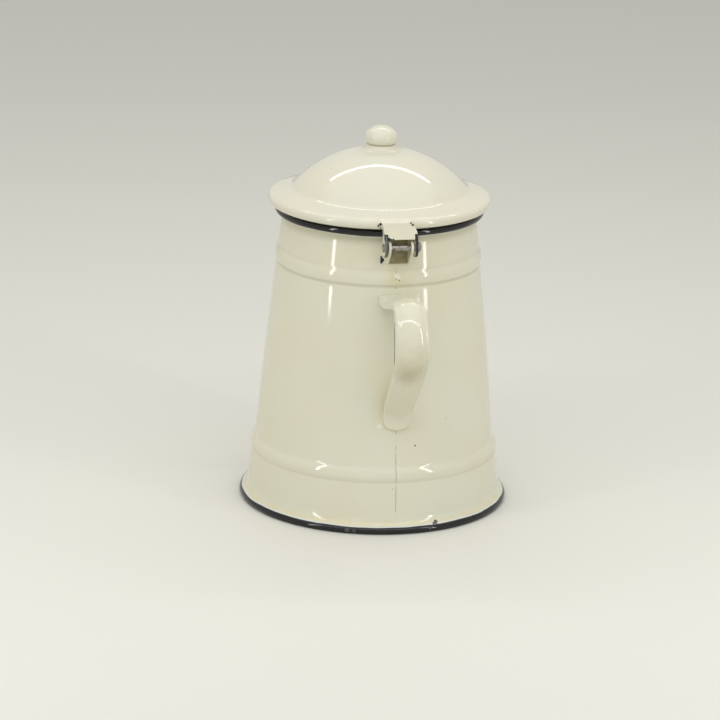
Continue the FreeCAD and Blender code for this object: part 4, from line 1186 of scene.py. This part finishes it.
@dataclass
class Hinge:
    """The bracket on the body, the pin, and the leaf on the lid."""

    pot: PotBody
    reach: float = 61.0
    height: float = 156.6
    cheek: tuple[float, float] = (5.2, 6.9)
    cheek_radius: float = 4.2
    ear: tuple[float, float] = (7.3, 9.05)
    ear_radius: float = 5.1
    roll_centre: tuple[float, float] = (57.9, 168.75)
    roll_radius: float = 2.9
    leaf_wall: float = 1.5
    pin_radius: float = 1.75

    def sector(self, name: str, half_width: float, low: float, high: float,
               thick: float) -> bpy.types.Object:
        """A curved plate that lies on the wall.

        Its points follow the wall's radius at each height, moved out by the thickness, over
        an angle whose sine is the half width over the radius.
        """
        rows = np.linspace(low, high, 28)
        turn = np.linspace(-1, 1, 22) * math.asin(half_width / self.reach)
        radius = np.maximum(self.pot.cone_at(rows), self.pot.neck_radius)
        layers = []
        for lift in (-0.4, thick):
            r = (radius + lift)[:, None]
            layers.append(np.stack([-r * np.cos(turn)[None], r * np.sin(turn)[None],
                                    np.repeat(rows[:, None], len(turn), axis=1)], axis=-1))
        points = np.concatenate(layers).reshape(-1, 3)
        near = grid_quads(len(rows), len(turn), False, False)
        faces = near.tolist() + (near + len(rows) * len(turn))[:, ::-1].tolist()
        edge = np.concatenate([np.arange(len(turn)),
                               np.arange(1, len(rows)) * len(turn) + len(turn) - 1,
                               (len(rows) - 1) * len(turn) + np.arange(len(turn) - 1)[::-1],
                               np.arange(1, len(rows) - 1)[::-1] * len(turn)])
        after = np.roll(edge, -1)
        shift = len(rows) * len(turn)
        faces += np.stack([edge + shift, after + shift, after, edge], axis=1).tolist()
        return make_piece(name, points, faces)

    def bracket(self) -> bpy.types.Object:
        """Build the bracket: a back, two feet and two rounded cheeks, run together."""
        low = self.height - 10.3
        back = self.sector("back", 7.4, low, self.height + 3.6, 1.1)
        feet = self.sector("feet", 10.2, low, low + 5.7, 0.9)
        pin = (-self.reach, self.height)
        wall_low = -(self.pot.cone_at(low) + 0.4)
        corners = [(wall_low, low), (-self.pot.neck_radius - 0.4,
                                     self.height + self.cheek_radius * math.cos(0.56)),
                   polar(pin, self.cheek_radius, 58), polar(pin, self.cheek_radius, 222),
                   (wall_low - 1.7, low)]
        outline = trace(corners, {2: Bend(self.cheek_radius, True)}, 0.4)
        cheeks = [plate("cheek", outline, side * self.cheek[0] if side > 0 else -self.cheek[1],
                        self.cheek[1] if side > 0 else -self.cheek[0], 0.35)
                  for side in (1.0, -1.0)]
        piece = melt(join("bracket_enamel", [back, feet, *cheeks]), 0.24, 4)
        self.mark_rim(piece, self.cheek_radius - 0.5, 0.3, self.cheek)
        return piece

    def leaf(self) -> bpy.types.Object:
        """Build the leaf: a plate bent over the lid's roll with two ears turned down."""
        roll = (-self.roll_centre[0], self.roll_centre[1])
        near, far = self.roll_radius + 0.03, self.roll_radius + self.leaf_wall
        lip = (-(self.reach + 3.7), self.height + 5.1)
        inner_lip = (lip[0] + 1.42, lip[1] + 0.25)
        corners = [
            polar(roll, near, 128), polar(roll, near + 0.25, 128), polar(roll, far, 158),
            polar(roll, far, 180), lip, inner_lip, polar(roll, near, 180),
        ]
        bends = {1: Bend(far + 1.2, True), 2: Bend(far, True), 6: Bend(near, False)}
        strip = plate("strip", trace(corners, bends, 0.35), -self.ear[1], self.ear[1], 0.4)
        pin = (-self.reach, self.height)
        inner = pin[0] + 3.9
        drop = math.sqrt(self.ear_radius ** 2 - 3.9 ** 2)
        ear = [
            (inner, pin[1] - drop), (inner, roll[1] - self.roll_radius - 0.25),
            (roll[0] - 1.2, roll[1] - self.roll_radius - 0.1), (roll[0] - 2.95, roll[1] - 0.9),
            (roll[0] - far + 0.1, roll[1]), lip, polar(pin, self.ear_radius, 165),
        ]
        outline = trace(ear, {6: Bend(self.ear_radius, True)}, 0.4)
        ears = [plate("ear", outline, self.ear[0], self.ear[1], 0.4),
                plate("ear", outline, -self.ear[1], -self.ear[0], 0.4)]
        piece = melt(join("leaf_enamel", [strip, *ears]), 0.22, 4)
        ring = [(self.pin_radius + 0.15) * np.array(polar((0, 0), 1, turn))
                for turn in range(0, 360, 10)]
        hole = plate("hole", np.array(ring) + np.array(pin), -12.0, 12.0, 0.01)
        cut_away(piece, hole)
        self.skew(piece)
        self.mark_rim(piece, self.ear_radius - 0.75, 1.0, self.ear)
        return piece

    def skew(self, piece: bpy.types.Object) -> None:
        """Lean the leaf's root towards +Y and draw it in, by the square of its height."""
        points = np.empty(len(piece.data.vertices) * 3)
        piece.data.vertices.foreach_get("co", points)
        points = points.reshape(-1, 3)
        share = np.clip((points[:, 2] / METRES - self.height - 5.4) / 8.5, 0, 1) ** 2
        points[:, 1] = points[:, 1] * (1 - 0.07 * share) + 2.2 * METRES * share
        piece.data.vertices.foreach_set("co", points.ravel())
        piece.data.update()

    def mark_rim(self, piece: bpy.types.Object, radius: float, most: float,
                 plates: tuple[float, float]) -> None:
        """Mark the worn outer rim of cheeks or ears.

        The mark grows with the distance from the pin beyond the radius, on the plates'
        lower outer part. It passes 0.74, where bare steel starts, only in the middle of the
        rim on the +Y side.
        """
        mesh = piece.data
        points = np.empty(len(mesh.vertices) * 3)
        mesh.vertices.foreach_get("co", points)
        points = points.reshape(-1, 3) / METRES
        away = np.hypot(points[:, 0] + self.reach, points[:, 2] - self.height)
        rim = np.clip((away - radius) / 0.7, 0, 1)
        side = np.abs(points[:, 1])
        on = np.clip((side - plates[0] + 0.3) / 0.3, 0, 1)
        outside = np.clip((-points[:, 0] - self.reach + 1.0) / 2.0, 0, 1)
        below = np.clip((self.height + 9.0 - points[:, 2]) / 2.0, 0, 1)
        middle = np.clip((np.minimum(side - plates[0], plates[1] - side) - 0.42) / 0.22, 0, 1)
        top = 0.62 + 0.38 * middle * np.where(points[:, 1] > 0, 1.0, 0.35)
        worn = np.minimum(most * rim * on * outside * below, top)
        layer = mesh.attributes.new("worn", "FLOAT", "POINT")
        layer.data.foreach_set("value", worn.astype(np.float32))

    def pin(self) -> bpy.types.Object:
        """Build the pin: a rivet with a domed head towards -Y and a hammered end.

        Its profile is turned round an axis along Y through the hinge's centre.
        """
        half = self.ear[1] + 0.1
        head, dome, end, tail = 3.3, 2.3, 2.45, 0.5
        corners = [(0.0, -(half + dome)), (head, -half), (self.pin_radius, -half),
                   (self.pin_radius, half), (end, half), (0.0, half + tail)]
        bends = {0: Bend((head ** 2 + dome ** 2) / (2 * dome), True),
                 4: Bend((end ** 2 + tail ** 2) / (2 * tail), True)}
        piece = turned("pin_steel", trace(corners, bends, 0.25, closed=False), 72, False)
        swap = Matrix(((1, 0, 0, -self.reach * METRES), (0, 0, 1, 0),
                       (0, -1, 0, self.height * METRES), (0, 0, 0, 1)))
        piece.data.transform(swap)
        return piece

    def build(self) -> list[bpy.types.Object]:
        """Build the hinge's three pieces.

        Returns:
            The pieces.
        """
        bracket, leaf, pin = self.bracket(), self.leaf(), self.pin()
        low = self.height - 10.3
        work = EnamelWork(Enamel(), edge_wear="worn",
                          stains_and_shade=(((-56.0, 0.0, 152.0), 9.0, (1.0, 1.3, 0.6)),),
                          chips=(Chip((-54.6, 9.1, low + 1.9), 1.9), Chip((-54.4, 9.3, low + 3.4), 1.2)))
        dress(bracket, self.paint_cheek_shade(work.material("fired cream enamel of the bracket")))
        settle(bracket, Body.POT, ["hinge_bracket"])
        chips = (Chip((-62.0, -5.1, 170.2), 0.55), Chip((-62.3, -6.2, 169.3), 0.7),
                 Chip((-64.6, 4.6, 161.9), 0.7),
                 Chip((-64.6, 5.9, 161.9), 0.8), Chip((-64.6, 7.2, 162.3), 1.0),
                 Chip((-62.2, 9.1, 167.2), 0.5))
        work = EnamelWork(Enamel(), edge_wear="worn", chips=chips)
        dress(leaf, work.material("fired cream enamel of the leaf"))
        settle(leaf, Body.LID, ["hinge_leaf"])
        dress(pin, Steel().material("worn rivet steel", 0.55))
        settle(pin, Body.POT, ["hinge_pin"])
        return [bracket, leaf, pin]

    def paint_cheek_shade(self, material: bpy.types.Material) -> bpy.types.Material:
        """Paint olive shade between the bracket's cheeks, where the recess lies in shadow."""
        tree = material.node_tree
        masks = Masks(tree)
        between = masks.ramp(masks.math("ABSOLUTE", masks.y), self.cheek[0] + 0.3,
                             self.cheek[0] + 0.05)
        deep = masks.ramp(masks.x, -(self.reach + 4.0), -(self.reach + 1.5))
        amount = masks.math("MULTIPLY", between, deep)
        patchy = masks.ramp(masks.noise(3.4, 3.0), 0.1, 0.75)
        amount = masks.math("MULTIPLY", amount, masks.math("ADD", masks.math(
            "MULTIPLY", patchy, 0.35), 0.6))
        shader = next(node for node in tree.nodes if node.type == "BSDF_PRINCIPLED")
        under = shader.inputs["Base Color"].links[0].from_socket
        tree.links.new(masks.mix(amount, under, linear("#80764C")),
                       shader.inputs["Base Color"])
        rough = shader.inputs["Roughness"].links[0].from_socket
        tree.links.new(masks.blend(amount, rough, 0.5), shader.inputs["Roughness"])
        return material


@dataclass
class Lid:
    """The domed lid with its collar and knob."""

    wall: float = 1.0
    radius: float = 60.8
    roll: float = 2.9
    roll_height: float = 168.75
    curl_end: float = 105.0
    brim_radius: float = 50.37
    brim_slope: float = 15.94
    dome_radius: float = 47.06
    dome_section: float = 64.0
    dome_blend: float = 7.0
    top: float = 196.6
    bore: float = 2.05
    around: int = 336

    @property
    def centre(self) -> Point:
        """Centre of the rolled edge."""
        return (self.radius - self.roll, self.roll_height)

    def dome_at(self, radius: float, sunk: float = 0.0) -> float:
        """Height of the dome, or of its underside when sunk by the sheet."""
        return self.top - self.dome_section + math.sqrt((self.dome_section - sunk) ** 2
                                                        - radius ** 2)

    def shell(self) -> bpy.types.Object:
        """Build the lid's sheet."""
        wall, roll, centre = self.wall, self.roll, self.centre
        tilt = math.radians(self.brim_slope)
        start = 90 - self.brim_slope
        edge = polar(centre, roll, start)
        brim = (self.brim_radius, edge[1] + (edge[0] - self.brim_radius) * math.tan(tilt))
        foot = (self.dome_radius, self.dome_at(self.dome_radius))
        sine = self.dome_radius / self.dome_section
        corners = [
            (self.bore, self.dome_at(self.bore)), (self.bore, self.dome_at(self.bore, wall)),
            (foot[0] - wall * sine, foot[1] - wall * math.sqrt(1 - sine ** 2)),
            (brim[0] - wall * math.sin(tilt), brim[1] - wall * math.cos(tilt)),
            polar(centre, roll - wall, start), polar(centre, roll - wall, -self.curl_end),
            polar(centre, roll, -self.curl_end), edge, brim, foot,
        ]
        bends = {
            1: Bend(self.dome_section - wall, False), 2: Bend(self.dome_blend + wall, True),
            4: Bend(roll - wall, False), 6: Bend(roll, True), 8: Bend(self.dome_blend, False),
            9: Bend(self.dome_section, True),
        }
        piece = turned("lid_enamel", trace(corners, bends, 0.6), self.around,
                       shift=self.unevenness)
        work = EnamelWork(Enamel(cream="#DBDAC7", warm="#DDD8C3"),
                          chips=(Chip((-59.6, 11.8, 168.4), 0.6), Chip((-59.8, 10.8, 169.3), 0.75),
                                 Chip((-59.3, 10.7, 167.0), 0.6)))
        dress(piece, work.material("fired ivory enamel of the lid"))
        return piece

    def unevenness(self, turn: Array, height: Array) -> Array:
        """Waves of a few hundredths of a millimetre on the dome, none at the edge."""
        window = np.clip((height - 178) / 6, 0, 1) * np.clip((195 - height) / 6, 0, 1)
        return -0.04 * window * (1 + np.cos(3 * turn + 0.4) * 0.6 + np.cos(7 * turn + 2) * 0.4)

    def collar(self) -> bpy.types.Object:
        """Build the ring that drops into the mouth."""
        seat, wall, bend = 165.5, 0.8, 1.2
        outer, step, edge = 50.2, 55.3, 58.2
        grip = self.roll_height - (self.roll - self.wall) + 0.1
        rise = grip - seat
        skew = wall * math.tan(math.radians(22.5))
        corners = [
            (outer - wall, seat - 5.0), (outer, seat - 5.0), (outer, seat - bend),
            (outer + bend, seat), (step, seat), (step + rise, grip), (edge, grip),
            (edge, grip + wall), (step + rise - skew, grip + wall), (step - skew, seat + wall),
            (outer + bend, seat + wall), (outer - wall, seat - bend),
        ]
        bends = {2: Bend(bend, False), 10: Bend(bend + wall, True)}
        piece = turned("collar_enamel", trace(corners, bends, 0.5), 256)
        dress(piece, EnamelWork(Enamel()).material("fired cream enamel of the collar"))
        return piece

    def knob(self) -> bpy.types.Object:
        """Build the hollow pressed knob.

        A low crown runs into a round side, and below a crease the neck spreads on the dome.
        """
        middle, radius, side, height, tuck, wall = 202.3, 8.97, 5.0, 6.6, 36.0, 1.2
        base, bore = 10.7, 6.0
        reach = radius - side
        crown = (reach ** 2 + height ** 2 - side ** 2) / (2 * (height - side))
        toward = (reach / (crown - side), (crown - height) / (crown - side))

        def corner(inside: float, part: str) -> Point:
            """A corner of the outside, or of the hollow when moved in by the sheet."""
            if part == "top":
                return (0.0, middle + height - inside)
            if part == "shoulder":
                return ((crown - inside) * toward[0],
                        middle + height - crown + (crown - inside) * toward[1])
            return polar((reach, middle), side - inside, -tuck)

        waist = corner(0.0, "waist")
        neck = (waist[0] - 0.18, waist[1] - 0.3)
        corners = [
            corner(wall, "top"), corner(wall, "shoulder"), corner(wall, "waist"),
            (bore, self.dome_at(bore) - 0.06), (base, self.dome_at(base) - 0.06),
            (base - 0.1, self.dome_at(base - 0.1) + 0.05), neck, waist,
            corner(0.0, "shoulder"), corner(0.0, "top"),
        ]
        bends = {
            0: Bend(crown - wall, False), 1: Bend(side - wall, False),
            3: Bend(self.dome_section, False), 5: Bend(4.2, False), 7: Bend(side, True),
            8: Bend(crown, True),
        }
        piece = turned("knob_enamel", trace(corners, bends, 0.3, closed=False), 144, False)
        # The band under the knob is painted shade, in the crease where the knob meets its neck.
        work = EnamelWork(Enamel(cream="#DBDAC7", warm="#DDD8C3"),
                          shade_bands=((waist[1] - 0.2, 0.75, 0.75),))
        dress(piece, work.material("fired ivory enamel of the knob"))
        return piece

    def build(self) -> list[bpy.types.Object]:
        """Build the lid's pieces.

        Returns:
            The pieces.
        """
        shell, collar, knob = self.shell(), self.collar(), self.knob()
        settle(shell, Body.LID, ["lid_shell"])
        settle(collar, Body.LID, ["lid_collar"])
        settle(knob, Body.LID, ["lid_knob"])
        return [shell, collar, knob]


@dataclass
class PlainSteel:
    """The steel nodes that keep their own shape and take a finish."""

    wires: tuple[str, ...] = ("mouth_wire", "foot_wire")
    worn: tuple[str, ...] = ("knob_stud",)

    def build(self) -> None:
        """Give each node's material slots the finish."""
        plain = Steel().material("drawn steel wire", 0.1)
        rusty = Steel().material("hammered stud steel", 0.4)
        for names, material in ((self.wires, plain), (self.worn, rusty)):
            for name in names:
                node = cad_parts[name]
                node.data.materials.clear()
                node.data.materials.append(material)
                LOG.info("%s keeps its shape", name)


@dataclass
class Studio:
    """A pale floor, soft light and the photograph's camera."""

    floor_colour: str = "#E5E4DB"
    camera_place: tuple[float, float, float] = (-1.8658, 0.35944, 0.64753)
    camera_aim: tuple[float, float, float] = (0.00157, 0.00837, 0.07605)
    camera_roll: float = 1.45
    lens: float = 180.0
    world_light: float = 0.52
    background: str = "#D9D8D4"

    def view_axes(self) -> tuple[Vector, Vector]:
        """Level directions away from the camera and to its right."""
        ahead = Vector(self.camera_aim) - Vector(self.camera_place)
        ahead.z = 0
        ahead.normalize()
        return ahead, Vector((ahead.y, -ahead.x, 0))

    def floor(self) -> None:
        """Lay a wide floor whose plain colour is the background."""
        size = 6000.0
        points = np.array([[-size, -size, 0], [size, -size, 0], [size, size, 0],
                           [-size, size, 0]])
        mesh = bpy.data.meshes.new("floor")
        mesh.from_pydata((points * METRES).tolist(), [], [[0, 1, 2, 3]])
        piece = bpy.data.objects.new("floor", mesh)
        bpy.context.collection.objects.link(piece)
        material = bpy.data.materials.new("plain pale floor")
        material.use_nodes = True
        tree = material.node_tree
        shader = tree.nodes["Principled BSDF"]
        shader.inputs["Base Color"].default_value = linear(self.floor_colour)
        shader.inputs["Roughness"].default_value = 0.55
        shader.inputs["Specular IOR Level"].default_value = 0.25
        mesh.materials.append(material)

    def world(self) -> None:
        """Soft light from all round; the camera and reflections see the pale background."""
        world = bpy.data.worlds.new("studio")
        bpy.context.scene.world = world
        world.use_nodes = True
        tree = world.node_tree
        tree.nodes.clear()
        path = add(tree, "ShaderNodeLightPath").outputs
        seen = add(tree, "ShaderNodeMath", {0: path["Is Camera Ray"], 1: path["Is Glossy Ray"]},
                   operation="MAXIMUM").outputs[0]
        seen = add(tree, "ShaderNodeMath", {0: seen, 1: path["Is Transmission Ray"]},
                   operation="MAXIMUM").outputs[0]
        light = add(tree, "ShaderNodeBackground",
                    {"Color": (1.0, 1.0, 1.0, 1.0), "Strength": self.world_light})
        pale = add(tree, "ShaderNodeBackground",
                   {"Color": linear(self.background), "Strength": 1.0})
        mixed = add(tree, "ShaderNodeMixShader",
                    {0: seen, 1: light.outputs[0], 2: pale.outputs[0]})
        add(tree, "ShaderNodeOutputWorld", {"Surface": mixed.outputs[0]})

    def lamp(self, name: str, place: Vector, aim: Vector, size: tuple[float, float],
             power: float, colour: str = "#FFFFFF") -> None:
        """Hang a rectangular soft light, unseen by the camera, and turn it to a point."""
        light = bpy.data.lights.new(name, "AREA")
        light.shape = "RECTANGLE"
        light.size, light.size_y = size
        light.energy = power
        light.color = linear(colour)[:3]
        lamp = bpy.data.objects.new(name, light)
        lamp.location = place
        lamp.rotation_euler = (aim - place).to_track_quat("-Z", "Y").to_euler()
        lamp.visible_camera = False
        bpy.context.collection.objects.link(lamp)

    def lights(self) -> None:
        """Strips round the open front and along the top back, and one wide soft light."""
        ahead, right = self.view_axes()
        for name, near, side in (("left_strip", 0.388, -0.459), ("right_strip", 0.374, 0.47)):
            place = right * side - ahead * near + Vector((0, 0, 0.372))
            self.lamp(name, place, Vector((0, 0, 0.372)), (0.036, 0.586), 0.7)
        self.lamp("front_strip", Vector((0, 0, 0.68)) - ahead * 0.478, Vector((0, 0, 0.12)),
                  (0.92, 0.036), 0.84)
        self.lamp("back_strip", ahead * 0.404 + Vector((0, 0, 0.85)), Vector((0, 0, 0.19)),
                  (1.0, 0.042), 1.2)
        self.lamp("ceiling", Vector((0, 0, 1.35)) - ahead * 0.2, Vector((0, 0, 0.1)),
                  (2.2, 1.9), 6.7, "#FFFDF8")

    def camera(self) -> None:
        """Stand the camera where the photograph was taken."""
        data = bpy.data.cameras.new("camera")
        data.lens = self.lens
        data.sensor_width = 36.0
        data.clip_start, data.clip_end = 0.05, 30.0
        camera = bpy.data.objects.new("camera", data)
        place, aim = Vector(self.camera_place), Vector(self.camera_aim)
        turn = (aim - place).to_track_quat("-Z", "Y").to_matrix()
        roll = Matrix.Rotation(math.radians(self.camera_roll), 3, "Z")
        camera.matrix_world = Matrix.Translation(place) @ (turn @ roll).to_4x4()
        bpy.context.collection.objects.link(camera)
        bpy.context.scene.camera = camera

    def build(self) -> None:
        """Set up the floor, the world, the lights and the camera."""
        self.camera()
        self.floor()
        self.world()
        self.lights()
        settings = bpy.context.scene.view_settings
        settings.view_transform = "Standard"


def main() -> None:
    """Build the studio and the pot."""
    logging.basicConfig(level=logging.INFO, format="%(message)s")
    Studio().build()
    pot = PotBody()
    pot.build()
    Spout(pot).build()
    Handle(pot).build()
    Hinge(pot).build()
    Lid().build()
    PlainSteel().build()
    bpy.context.view_layer.update()


if __name__ == "__main__":
    main()
